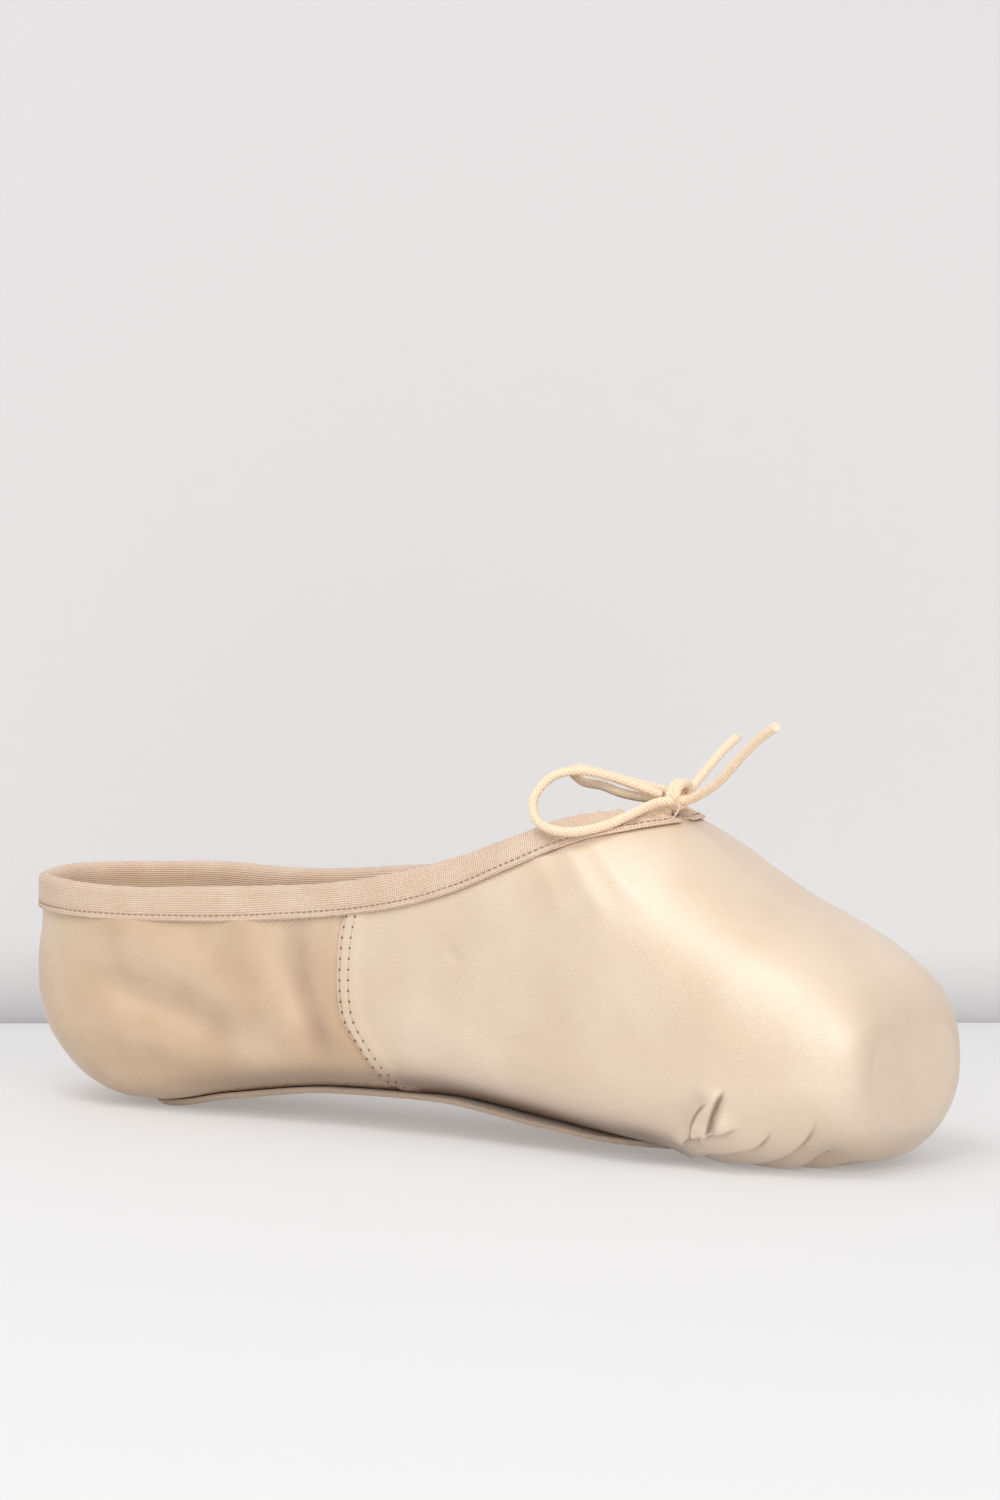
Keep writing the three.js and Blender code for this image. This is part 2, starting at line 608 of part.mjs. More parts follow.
const halfShankWidth = () => HALF_SHANK_HALF_WIDTH;
const halfShankOutline = ownOutline(...HALF_SHANK_ENDS, halfShankWidth, HALF_SHANK_HALF_WIDTH);
const halfShank = board({ outline: halfShankOutline, lift: () => HALF_SHANK_LIFT, thickness: HALF_SHANK });
add("half_shank", drilled(halfShank), FIBREBOARD);

const sockLift = curveThrough(SOCK_LIFT);
const sockOutline = fittedOutline(SOCK_FRONT, sockLift);
const sock = board({ outline: sockOutline, lift: sockLift, thickness: LINING, columns: 28 });
add("sock_lining", sock, DRILL_CREAM);

NAILS.forEach((x, i) => {
  const headFace = underside(x) + sockLift(x) - GAP;
  const seat = headFace - NAIL_HEAD;
  const point = underside(x) + SHANK_LIFT;
  const profile = [[0, point], [NAIL_RADIUS, point], [NAIL_RADIUS, seat], [NAIL_HEAD_RADIUS, seat],
    [NAIL_HEAD_RADIUS, headFace], [0, headFace]];
  const nail = new THREE.LatheGeometry(profile.map(([r, z]) => new THREE.Vector2(r, z)), 12);
  add(`shank_nail_${i + 1}`, nail.rotateX(Math.PI / 2).translate(x, 0, 0), STEEL);
});

// ---------------------------------------------------------------- Binding and drawstring

// The binding's section as [drop below the top line, depth], from its outer leg over to its inner one.
const BINDING_OUTER_FACE = [[BINDING_HEIGHT, -0.8], [5.8, -0.8], [3.6, -0.95], [CASING_DROP, -1.05],
  [0.8, -0.7], [0.25, 0.95], [0.8, 2.6], [CASING_DROP, 3.1], [3.8, 3.6], [BINDING_INSIDE, 3.8]];
const BINDING_INNER_FACE = [[BINDING_HEIGHT, -0.3], [5.8, -0.3], [3.8, -0.35], [CASING_DROP, -0.55],
  [1.2, -0.2], [0.75, 0.95], [1.2, 2.1], [CASING_DROP, 2.6], [3.8, 3.1], [BINDING_INSIDE, 3.3]];
const BINDING_COLUMNS = 32;
const BINDING_END = 1 - 2.9 / HALF_TOP_LINE; // the binding's ends leave a gap for the drawstring

function bindingFace(section, side) {
  return Array.from({ length: BINDING_COLUMNS + 1 }, (_, i) => {
    const share = BINDING_END * crowded(i / BINDING_COLUMNS);
    return section.map(([drop, depth]) => skin(...belowTopLine(share, drop), depth, side));
  });
}

const bindingSides = [1, -1].map((side) => ({
  outside: bindingFace(BINDING_OUTER_FACE, side),
  inside: bindingFace(BINDING_INNER_FACE, side),
  flip: side > 0,
}));
add("top_binding", bodyBetween(bindingSides), CANVAS_PINK);

// The drawstring runs round the opening inside the binding, from one of its front ends to the other.
const CASING_DEPTH = 0.95;
const CASING_POINTS = 32;
const inCasing = (share, side) => skin(...belowTopLine(share, CASING_DROP), CASING_DEPTH, side);
const casingShare = (i) => BINDING_END * crowded(i / CASING_POINTS);
const casingSide = (side) =>
  Array.from({ length: CASING_POINTS }, (_, i) => inCasing(casingShare(i + 1), side));
const drawstringPath = [...casingSide(-1).reverse(), inCasing(0, 1), ...casingSide(1)];
add("drawstring", rod(drawstringPath, CASED_CORD, 80), COTTON_PEACH);

const cordPoints = (points) => points.map((p) => new THREE.Vector3(...p));
// The knot stands on the two lengths of cord that come up out of the casing.
const knotBall = new THREE.SphereGeometry(KNOT_RADIUS, 14, 10).scale(1, 1.15, 0.9).translate(...KNOT);
const knot = [1, -1].reduce((solid, side) => {
  const leg = cordPoints(KNOT_LEG.map(([x, y, z]) => [x, y * side, z]));
  return solid.add(toSolid(rod(leg, CORD, 4)));
}, toSolid(knotBall));
add("drawstring_knot", fromSolid(knot), COTTON_PEACH);
add("bow_loop_right", rod(cordPoints(RIGHT_LOOP), CORD, 26), COTTON_PEACH);
add("bow_loop_left", rod(cordPoints(LEFT_LOOP), CORD, 26), COTTON_PEACH);
add("bow_tail_right", rod(cordPoints(RIGHT_TAIL), CORD, 10), COTTON_PEACH);
add("bow_tail_left", rod(cordPoints(LEFT_TAIL), CORD, 8), COTTON_PEACH);

// The origin is the middle of the shoe's length, on the floor.
const box = new THREE.Box3().setFromObject(shoe);
shoe.position.x = -(box.min.x + box.max.x) / 2;

export default shoe;
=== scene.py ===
"""A satin pointe slipper: fine cloth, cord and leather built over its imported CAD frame."""
import math

import bmesh
import bpy
import numpy as np
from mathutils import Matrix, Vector


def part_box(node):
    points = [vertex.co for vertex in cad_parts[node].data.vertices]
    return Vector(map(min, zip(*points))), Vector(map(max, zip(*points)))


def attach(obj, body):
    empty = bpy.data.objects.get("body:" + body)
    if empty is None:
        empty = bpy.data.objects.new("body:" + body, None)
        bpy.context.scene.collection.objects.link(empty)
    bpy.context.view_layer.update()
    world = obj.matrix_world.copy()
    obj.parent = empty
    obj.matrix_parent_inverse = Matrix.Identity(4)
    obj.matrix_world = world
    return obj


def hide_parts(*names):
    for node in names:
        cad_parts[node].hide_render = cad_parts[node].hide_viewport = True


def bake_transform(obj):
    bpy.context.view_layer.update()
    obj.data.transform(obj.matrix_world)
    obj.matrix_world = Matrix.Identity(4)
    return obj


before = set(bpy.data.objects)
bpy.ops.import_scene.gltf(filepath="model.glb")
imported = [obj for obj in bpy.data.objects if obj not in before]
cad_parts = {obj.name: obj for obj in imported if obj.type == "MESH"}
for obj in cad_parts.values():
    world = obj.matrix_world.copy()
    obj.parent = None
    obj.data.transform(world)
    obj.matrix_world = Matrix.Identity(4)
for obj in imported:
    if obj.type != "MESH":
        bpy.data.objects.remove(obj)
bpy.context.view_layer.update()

# ---------------------------------------------------------------- Driving dimensions
# Millimetres, with x measured from the heel's back; row() turns them into the row frame.

MM = 0.001
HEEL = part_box("quarter_satin_left")[0].x  # row x of the heel's back
NEAR, FAR = -1, 1  # the shoe's right side, nearest the camera, and its left side
SIDES = ((NEAR, "right"), (FAR, "left"))

LENGTH = 235
HEEL_CENTRE = 31
TOE_ROUND = 7
PLATFORM_RADIUS = 24  # from its rim to its centre, along the cloth
THROAT = 168
OUTSOLE = 1.6
OUTSOLE_BACK = 30
OUTSOLE_FRONT = 188
OUTSOLE_ENDS = (11, 26)
PRESSED_UP = OUTSOLE + 0.3
HALF_WIDTH = [(31, 28), (60, 26.2), (90, 24.8), (120, 26.3), (150, 30), (175, 33.5), (200, 34),
              (220, 30.4), (235, 25)]
UNDERSIDE = [(0, 0), (38, 0), (60, 3.6), (90, 7.3), (120, 8), (150, 5.1), (170, 2.8), (190, 1),
             (208, 0), (235, 2.6)]
WIDEST_HEIGHT = [(0, 32.5), (34, 26), (90, 27), (150, 26.5), (190, 23.5), (235, 21)]
CROWN = [(0, 111), (34, 96), (60, 90), (90, 86), (120, 83), (150, 80.5), (160, 78.8), (172, 75.2),
         (180, 71.6), (190, 65.3), (200, 59.4), (218, 51.4), (235, 40)]
TOP_LINE = [(0, 53.8), (34, 53.6), (60, 54.5), (90, 57.2), (110, 60.3), (125, 64.3), (140, 70),
            (152, 74.3), (160, 76)]
UPPER_SQUARENESS = [(0, 2.6), (150, 2.4), (235, 2.7)]
LOWER_SQUARENESS = [(0, 1.8), (34, 2.6), (90, 3), (150, 2.9), (190, 2.6), (235, 2)]
OUTSOLE_HALF_WIDTH = [(30, 10.5), (60, 16.5), (100, 17.5), (130, 21), (150, 23), (188, 21)]
# How far each side's cloth stops short of the sole's middle, as a share of the half width.
OPEN_UNDER = [(0, 0.02), (27, 0.02), (38, 0.24), (60, 0.44), (100, 0.5), (130, 0.6), (150, 0.52), (164, 0)]
LINING_OPEN_UNDER = [(0, 0.4), (31, 0.56), (60, 0.6), (110, 0.62), (130, 0.6), (150, 0.52), (164, 0)]
# The box's back edge, as (share of the turn from the sole to the crown, x).
BOX_BACK = [(0, 178), (0.08, 171), (0.24, 142), (0.46, 129), (0.6, 138), (0.7, 162), (0.82, 182), (1, 190)]
SOCK_LIFT = [(0, 8.9), (118, 8.9), (140, 9.9)]
SOCK_FRONT = 206
SOCK_EASE = 1.5  # how far its edge stays off the lining
SEAM_TOP = 98
SEAM_LEAN = [(0, 12.5), (0.15, 9.7), (0.45, 4), (0.65, -0.3), (0.8, -2.1), (0.9, -1.7), (1, 0)]
CLOTH_DROP = 5  # how far below the top line the satin's edge lies, under the binding
CASING_DROP, CASING_DEPTH = 2.3, 0.95
LINING_DEPTH = 1.1
BOX_LINING_DEPTH = 3.9
LINING = 0.6
HEEL_EASE = 0.5  # how much further in the quarter's lining lies
CORD, CASED_CORD = 2.2, 2.0

# The drawstring's knot, and the route of each end through its loop, the knot and its tail.
KNOT = (174, 0, 79.7)
NEAR_LOOP = [(170.6, -2.6, 79.9), (165.3, -6, 82.2), (160.7, -10, 84.3), (155.8, -14.5, 85.6),
             (151.7, -18, 84.5), (149.6, -20.5, 81.9), (148.7, -22, 78.6), (150.4, -23, 74.9),
             (154.8, -23.5, 73), (160.5, -22.5, 72.8), (166.2, -18.5, 74.3), (169.8, -13, 76.7),
             (171.6, -6, 78.5)]
NEAR_TAIL = [(174.2, -3.2, 78.9), (177.2, -2, 79.2), (182, -3.5, 81.1), (187.5, -6, 83.9),
             (192.7, -8.5, 87.7), (198.4, -11, 92.2), (204, -13.5, 95.8), (208.6, -15.5, 98.2)]
FAR_LOOP = [(170.2, 2.8, 80.2), (159.9, 5, 81.2), (150.1, 8.5, 82.2), (143.1, 11, 82.8), (137.9, 13, 83),
            (135, 15.2, 81.8), (136.6, 16.6, 79.8), (144.9, 12.6, 79.4), (152.6, 9, 78.4),
            (161.2, 6.5, 78), (169.4, 5, 78.6)]
FAR_TAIL = [(172.4, 4.2, 79.6), (173.9, 4.4, 80.9), (174.5, 6.2, 82.6), (174.5, 10.5, 85.1),
            (175, 14.5, 87.8), (175.4, 18.5, 90.1), (175.6, 21.5, 91.4)]


def row(points):
    """Points in millimetres from the heel's back, as metres in the row frame."""
    return np.asarray(points, float) * MM + np.array([HEEL, 0, 0])


def unit(vectors):
    return vectors / np.maximum(np.linalg.norm(vectors, axis=-1, keepdims=True), 1e-12)


def mix(a, b, share):
    return a + (b - a) * share


def smooth(start, end, value):
    share = np.clip((value - start) / (end - start), 0, 1)
    return share * share * (3 - 2 * share)


def bump_at(distance, width):
    """1 at no distance, falling off over the width."""
    return np.exp(-((distance / width) ** 2))


def stacked(*parts):
    """The parts, spread to one shape, as the coordinates of points."""
    return np.stack(np.broadcast_arrays(*parts), -1)


def runs_along(points):
    """How far along a line of points each of them lies."""
    return np.concatenate([[0], np.cumsum(np.linalg.norm(np.diff(points, axis=0), axis=1))])


# ---------------------------------------------------------------- Camera

AZIMUTH, ELEVATION = math.radians(33.93), math.radians(7.36)
VIEW_CENTRE = (117.5, 0, 30.9)
CAMERA_DISTANCE = 1593
LENS, SENSOR = 166.2, 36
AIM_RIGHT, AIM_UP = 6.4, 56  # the aim above the shoe, as it stands low in the picture

RIGHT = np.array([math.cos(AZIMUTH), math.sin(AZIMUTH), 0])
BACK = np.array([math.sin(AZIMUTH) * math.cos(ELEVATION), -math.cos(AZIMUTH) * math.cos(ELEVATION),
                 math.sin(ELEVATION)])
UP = np.cross(BACK, RIGHT)

camera_data = bpy.data.cameras.new("camera")
camera_data.lens = LENS
camera_data.sensor_width = SENSOR
camera_data.clip_end = 20
camera = bpy.data.objects.new("camera", camera_data)
bpy.context.scene.collection.objects.link(camera)
bpy.context.scene.camera = camera
eye = Vector(row(np.array(VIEW_CENTRE) + CAMERA_DISTANCE * BACK))
aim = Vector(row(np.array(VIEW_CENTRE) + AIM_RIGHT * RIGHT + AIM_UP * UP))
camera.location = eye
camera.rotation_euler = (aim - eye).to_track_quat("-Z", "Y").to_euler()

# ---------------------------------------------------------------- Meshes


def smooth_path(points, spacing):
    """Evenly spaced points along a smooth curve through the given ones."""
    points = np.asarray(points, float)
    knots = np.concatenate([[0], np.cumsum(np.linalg.norm(np.diff(points, axis=0), axis=1) ** 0.5)])
    slopes = np.gradient(points, knots, axis=0)
    dense = []
    for i in range(len(points) - 1):
        t = np.linspace(0, 1, 24, endpoint=i == len(points) - 2)[:, None]
        span = knots[i + 1] - knots[i]
        rise = t * t * (3 - 2 * t)
        bend = span * (slopes[i] * t * (1 - t) ** 2 - slopes[i + 1] * t * t * (1 - t))
        dense.append(mix(points[i], points[i + 1], rise) + bend)
    dense = np.concatenate(dense)
    run = runs_along(dense)
    count = max(int(round(run[-1] / spacing)), 2)
    at = np.linspace(0, run[-1], count + 1)
    return np.stack([np.interp(at, run, dense[:, k]) for k in range(points.shape[1])], -1)


class Patch:
    """A grid of points with its cloth coordinates in millimetres and a shade from 0 to 1 at each point."""

    def __init__(self, points, cloth, shade=None, flip=False):
        self.points = np.asarray(points, float)
        self.cloth = np.asarray(cloth, float)
        self.shade = np.zeros(self.points.shape[:2]) if shade is None else shade
        self.flip = flip


def mesh_piece(name, patches, weld=True):
    """One smooth mesh of several patches, welded where they meet."""
    points, cloth, shade, faces = [], [], [], []
    first = 0
    for patch in patches:
        rows, columns = patch.points.shape[:2]
        ids = first + np.arange(rows * columns).reshape(rows, columns)
        corners = [ids[:-1, :-1], ids[1:, :-1], ids[1:, 1:], ids[:-1, 1:]]
        if patch.flip:
            corners.reverse()
        faces.append(np.stack(corners, -1).reshape(-1, 4))
        points.append(patch.points.reshape(-1, 3))
        cloth.append(patch.cloth.reshape(-1, 2))
        shade.append(patch.shade.ravel())
        first += rows * columns
    points, cloth, shade, faces = map(np.concatenate, (points, cloth, shade, faces))
    mesh = bpy.data.meshes.new(name)
    mesh.from_pydata(row(points).tolist(), [], faces.tolist())
    loops = np.empty(len(mesh.loops), np.int32)
    mesh.loops.foreach_get("vertex_index", loops)
    layer = mesh.uv_layers.new(name="cloth")
    layer.data.foreach_set("uv", cloth[loops].astype(np.float32).ravel())
    mesh.attributes.new("shade", "FLOAT", "POINT").data.foreach_set("value", shade.astype(np.float32))
    if weld:
        work = bmesh.new()
        work.from_mesh(mesh)
        bmesh.ops.remove_doubles(work, verts=work.verts, dist=1e-6)
        work.to_mesh(mesh)
        work.free()
    mesh.polygons.foreach_set("use_smooth", np.ones(len(mesh.polygons), bool))
    piece = bpy.data.objects.new(name, mesh)
    bpy.context.scene.collection.objects.link(piece)
    return piece


def cross_directions(path):
    """Two directions across each point of a path, turning as little as they can."""
    forward = unit(np.gradient(path, axis=0))
    side = unit(np.cross(forward[0], (0.2, 0.1, 1)))
    sides = []
    for tangent in forward:
        side = unit(side - tangent * (side @ tangent))
        sides.append(side)
    return np.array(sides), np.cross(forward, sides)


TUBE_SIDES = 20


def tube(path, diameter, flatness=1.0):
    """A round rod along a path, its ends closed with a small rounding."""
    side, across = cross_directions(path)
    path, side, across = (np.concatenate([a[:1], a[:1], a, a[-1:], a[-1:]]) for a in (path, side, across))
    grow = np.ones(len(path))
    grow[[0, -1]] = 0
    grow[[1, -2]] = 0.9
    grow[[2, -3]] = 0.97
    angle = np.linspace(0, 2 * math.pi, TUBE_SIDES + 1)
    radius = (diameter / 2) * grow[:, None, None]
    ring = (np.cos(angle)[None, :, None] * side[:, None]
            + flatness * np.sin(angle)[None, :, None] * across[:, None])
    cloth = stacked(runs_along(path)[:, None], (angle * diameter / 2)[None, :])
    return Patch(path[:, None] + radius * ring, cloth, flip=True)


# ---------------------------------------------------------------- Drawstring bow

CORD_SPACING = 0.45
free_cords = []


def cord_end(name, loop, tail, nodes):
    """One end of the drawstring: out of the knot, round its loop, through the knot and out to its tail."""
    path = smooth_path(loop + tail, CORD_SPACING)
    piece = mesh_piece(name, [tube(path, CORD, 0.94)])
    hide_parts(*nodes)
    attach(piece, "forefoot")
    free_cords.append(piece)


cord_end("drawstring_end_right", NEAR_LOOP, NEAR_TAIL, ["bow_loop_right", "bow_tail_right"])
cord_end("drawstring_end_left", FAR_LOOP, FAR_TAIL, ["bow_loop_left", "bow_tail_left"])

KNOT_LEG = [(171.1, 1.4, 75.4), (171.6, 1.5, 77), (172.6, 1.6, 78.4), (173.4, 0.9, 79.6)]
WRAP_RADIUS = 2.75
WRAP_WIDTH = 3.2
WRAP_TURNS = 1.9


def knot_wrap():
    """The cord's turns round the four strands that pass through the knot."""
    turn = np.linspace(-0.2, WRAP_TURNS, 26) * 2 * math.pi
    share = np.linspace(-0.5, 0.5, len(turn))
    tuck = 1 - 0.55 * smooth(0.36, 0.5, np.abs(share))
    x = KNOT[0] - 0.2 + WRAP_WIDTH * share + 0.45 * np.sin(turn)
    y = KNOT[1] + WRAP_RADIUS * 1.25 * tuck * np.cos(turn)
    z = KNOT[2] + 0.3 + WRAP_RADIUS * 0.95 * tuck * np.sin(turn)
    return smooth_path(np.stack([x, y, z], -1), CORD_SPACING)


knot_legs = [[(x, y * side, z) for x, y, z in KNOT_LEG] for side in (NEAR, FAR)]
knot = mesh_piece("knot_of_drawstring", [
    tube(knot_wrap(), CORD * 0.95),
    *(tube(smooth_path(leg, CORD_SPACING), CORD) for leg in knot_legs),
])
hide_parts("drawstring_knot")
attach(knot, "forefoot")

THREAD = 0.38
STRAY_THREAD = [(174.6, -3.6, 80.6), (176.4, -4.6, 79.2), (176.6, -5.2, 77), (175.2, -5.9, 75),
                (172.9, -6.9, 74.2), (171.2, -7.6, 74.9), (170.2, -7.2, 76.4)]
stray = mesh_piece("stray_thread", [tube(smooth_path(STRAY_THREAD, 0.4), THREAD)])
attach(stray, "forefoot")

# ---------------------------------------------------------------- The shoe's skin


def curve_through(stations):
    """A smooth curve through (x, y) stations that never overshoots them, level beyond its ends."""
    x, y = (np.array(column, float) for column in zip(*stations))
    secant = np.diff(y) / np.diff(x)
    before, after = secant[:-1], secant[1:]
    turning = before * after <= 0
    inner = np.where(turning, 0, 2 * before * after / np.where(turning, 1, before + after))
    slope = np.concatenate([secant[:1], inner, secant[-1:]])

    def curve(value):
        value = np.clip(value, x[0], x[-1])
        i = np.clip(np.searchsorted(x, value) - 1, 0, len(x) - 2)
        span = x[i + 1] - x[i]
        t = (value - x[i]) / span
        rise = t * t * (3 - 2 * t)
        bend = slope[i] * t * (1 - t) ** 2 - slope[i + 1] * t * t * (1 - t)
        return mix(y[i], y[i + 1], rise) + span * bend

    return curve


half_width = curve_through(HALF_WIDTH)
underside = curve_through(UNDERSIDE)
widest_height = curve_through(WIDEST_HEIGHT)
crown = curve_through(CROWN)
top_line_height = curve_through([*TOP_LINE, (THROAT, float(crown(THROAT)))])
upper_squareness = curve_through(UPPER_SQUARENESS)
lower_squareness = curve_through(LOWER_SQUARENESS)
outsole_width = curve_through(OUTSOLE_HALF_WIDTH)
box_back = curve_through(BOX_BACK)
sock_lift = curve_through(SOCK_LIFT)
seam_lean = curve_through(SEAM_LEAN)


def past_ends(x, back, front, back_radius, front_radius):
    """How far into a board's round ends an x lies: 0 between them, 1 at either tip."""
    past_back = (back + back_radius - x) / back_radius
    return np.maximum(np.maximum(past_back, (x - front + front_radius) / front_radius), 0)


def outsole_half_width(x):
    past = past_ends(x, OUTSOLE_BACK, OUTSOLE_FRONT, *OUTSOLE_ENDS)
    return outsole_width(x) * np.sqrt(np.maximum(1 - past**2, 0))


def beyond_outsole(x, y):
    """How far a place lies outside the outsole's outline; negative inside it."""
    width = outsole_width(x)
    return width * (np.hypot(past_ends(x, OUTSOLE_BACK, OUTSOLE_FRONT, *OUTSOLE_ENDS), y / width) - 1)


def skin(walk, turn, depth=0.0, side=1):
    """Points on the skin, or on a layer inside it. Walk runs from the back seam to LENGTH at the platform's
    rim and LENGTH + 1 at its centre. Turn goes round the section, from -90 under the sole to 90 on the
    crown line."""
    walk, turn, depth = np.broadcast_arrays(*(np.asarray(a, float) for a in (walk, turn, depth)))
    rim = np.clip((walk - LENGTH + TOE_ROUND) / TOE_ROUND, 0, 1) * math.pi / 2
    radius = TOE_ROUND - depth
    cut = radius * (1 - np.cos(rim))
    x = np.where(rim > 0, LENGTH - TOE_ROUND + radius * np.sin(rim), walk)
    width = half_width(np.maximum(x, HEEL_CENTRE)) - depth - cut
    middle = widest_height(x)
    c, s = np.cos(np.radians(turn)), np.sin(np.radians(turn))
    n = np.where(s < 0, lower_squareness(x), upper_squareness(x))
    height = np.where(s < 0, middle - underside(x), crown(x) - middle) - depth - cut
    r = (np.abs(c) ** n + np.abs(s) ** n) ** (-1 / n)
    y, z = width * r * c, middle + height * r * s
    fan = np.maximum(1 - walk / HEEL_CENTRE, 0) * math.pi / 2
    x = np.where(walk < HEEL_CENTRE, HEEL_CENTRE - (HEEL_CENTRE - depth) * r * c * np.sin(fan), x)
    y = y * np.cos(fan)
    beyond = beyond_outsole(x, y)
    pressed = underside(x) + depth + PRESSED_UP * (1 - smooth(4, 13, beyond))
    z = np.where(s < 0, np.maximum(z, pressed), z)
    shrink = np.where(walk > LENGTH, 1 - (walk - LENGTH), 1)
    return np.stack([x, side * y * shrink, mix(middle, z, shrink)], -1)


def turn_at_height(walk, height, depth=0.0):
    middle = widest_height(walk)
    up = height >= middle
    n = np.where(up, upper_squareness(walk), lower_squareness(walk))
    reach = np.where(up, crown(walk) - middle, middle - underside(walk)) - depth
    k = np.minimum(np.abs(height - middle) / reach, 1)
    return np.degrees(np.arctan2(np.where(up, k, -k), (1 - k**n) ** (1 / n)))


TOP_WALKS = THROAT * (1 - (1 - np.linspace(0, 1, 401)) ** 2)
TOP_TURNS = turn_at_height(TOP_WALKS, top_line_height(TOP_WALKS))
TOP_TURNS[-1] = 90
TOP_RUNS = runs_along(skin(TOP_WALKS, TOP_TURNS))
HALF_TOP_LINE = TOP_RUNS[-1]


def top_line(share):
    """Walk and turn a share of the way along the top line, from the back seam to the throat's front."""
    run = np.clip(share, 0, 1) * HALF_TOP_LINE
    return np.interp(run, TOP_RUNS, TOP_WALKS), np.interp(run, TOP_RUNS, TOP_TURNS)


def tangents(walk, turn):
    step = 0.05
    along_walk = (skin(walk + step, turn) - skin(walk - step, turn)) / (2 * step)
    along_turn = (skin(walk, turn + step) - skin(walk, turn - step)) / (2 * step)
    return along_walk, along_turn, unit(np.cross(along_turn, along_walk))


def dot(a, b):
    return (a * b).sum(-1)


def below_top_line(share, drop):
    """Walk and turn of the place `drop` below the top line, measured over the skin at right angles to it."""
    around = 0.004
    share = np.asarray(share, float)
    at_back, at_front = share < around, share + around > 1
    walk, turn = top_line(share)
    forward = skin(*top_line(share + around)) - skin(*top_line(share - around))
    forward = np.where(at_back[..., None], (0, 1, 0), forward)
    forward = np.where(at_front[..., None], (0, -1, 0), forward)
    down = unit(np.cross(tangents(walk, turn)[2], forward))
    down = np.where(at_back[..., None], (0, 0, -1), down)
    steps = 4
    for _ in range(steps):
        along_walk, along_turn, normal = tangents(walk, turn)
        down = unit(down - normal * dot(down, normal)[..., None])
        ww, wt, tt = dot(along_walk, along_walk), dot(along_walk, along_turn), dot(along_turn, along_turn)
        dw, dt = dot(down, along_walk), dot(down, along_turn)
        pace = drop / steps / (ww * tt - wt * wt)
        walk = walk + pace * (dw * tt - dt * wt)
        turn = turn + pace * (dt * ww - dw * wt)
    return np.where(share == 0, 0, walk), np.where(share == 1, 90, turn)


# How far each place on the skin is from the sole's middle, measured round its section.
GIRTH_WALKS = np.linspace(0, LENGTH, 236)
GIRTH_TURNS = np.linspace(-90, 90, 181)
girth_grid = skin(GIRTH_WALKS[:, None], GIRTH_TURNS[None, :])
girth_steps = np.linalg.norm(np.diff(girth_grid, axis=1), axis=-1)
GIRTHS = np.concatenate([np.zeros((len(GIRTH_WALKS), 1)), np.cumsum(girth_steps, axis=1)], axis=1)


def girth(walk, turn):
    """Millimetres from the sole's middle up round the section."""
    i = np.clip(walk, 0, LENGTH - 1e-6)
    j = np.clip(turn + 90, 0, 180 - 1e-6)
    a, b = i.astype(int), j.astype(int)
    s, t = i - a, j - b
    return mix(mix(GIRTHS[a, b], GIRTHS[a + 1, b], s), mix(GIRTHS[a, b + 1], GIRTHS[a + 1, b + 1], s), t)


def cloth_run(walk):
    """Millimetres along the cloth from the back seam, round the heel, the toe and the platform."""
    heel_arc = HEEL_CENTRE * (math.pi / 2 - 1)
    heel = np.minimum(walk / HEEL_CENTRE, 1) * heel_arc
    rim = np.clip((walk - LENGTH + TOE_ROUND) / TOE_ROUND, 0, 1) * TOE_ROUND * (math.pi / 2 - 1)
    return walk + heel + rim + np.maximum(walk - LENGTH, 0) * PLATFORM_RADIUS


# ---------------------------------------------------------------- Satin

SEAM_SHARE = float(np.interp(SEAM_TOP, TOP_WALKS, TOP_RUNS)) / HALF_TOP_LINE
SEAM_EDGE, _ = (float(a) for a in below_top_line(SEAM_SHARE, CLOTH_DROP))
THROAT_EDGE, _ = (float(a) for a in below_top_line(1.0, CLOTH_DROP))
SEAM_LAP = 4.5  # how far the quarter runs on under the vamp
LAP_RAISE = 0.4
SEAM_ROWS = (1.2, 3.7)  # how far in front of the vamp's edge its two rows of stitches run
FINE = 1  # a coarser cloth while trying things


def low_turn(stations):
    open_share = curve_through(stations)

    def turn(walk):
        share, n = open_share(walk), lower_squareness(walk)
        return -np.degrees(np.arctan2((1 - share**n) ** (1 / n), share))

    return turn


satin_low_turn = low_turn(OPEN_UNDER)
lining_low_turn = low_turn(LINING_OPEN_UNDER)


def seam_walk(t):
    return SEAM_EDGE + seam_lean(t)


def vamp_grid(low, rear, front, toe, platform, rows):
    """Walk and turn of the vamp's grid: from the side seam to the platform's centre, and from low to high."""
    t = np.linspace(0, 1, rows + 1)[None, :]
    share = (1 - (1 - np.linspace(0, 1, rear + 1)) ** 1.25)[:, None]
    edge_walk, edge_turn = below_top_line(mix(SEAM_SHARE, 1, share), CLOTH_DROP)
    edge_share = (edge_walk - SEAM_EDGE) / (THROAT_EDGE - SEAM_EDGE)
    start = seam_walk(t)
    rear_walk = mix(start, THROAT_EDGE, mix(share, edge_share, t))
    low_walk = mix(seam_walk(0), THROAT_EDGE, share)
    rear_turn = mix(low(low_walk), edge_turn, t)
    spans = [np.linspace(THROAT_EDGE, LENGTH - TOE_ROUND, front + 1)[1:],
             np.linspace(LENGTH - TOE_ROUND, LENGTH, toe + 1)[1:],
             np.linspace(LENGTH, LENGTH + 1, platform + 1)[1:]]
    front_walk = np.concatenate(spans)[:, None] + 0 * t
    front_turn = mix(low(front_walk[:, :1]), 90, t)
    return np.concatenate([rear_walk, front_walk]), np.concatenate([rear_turn, front_turn])


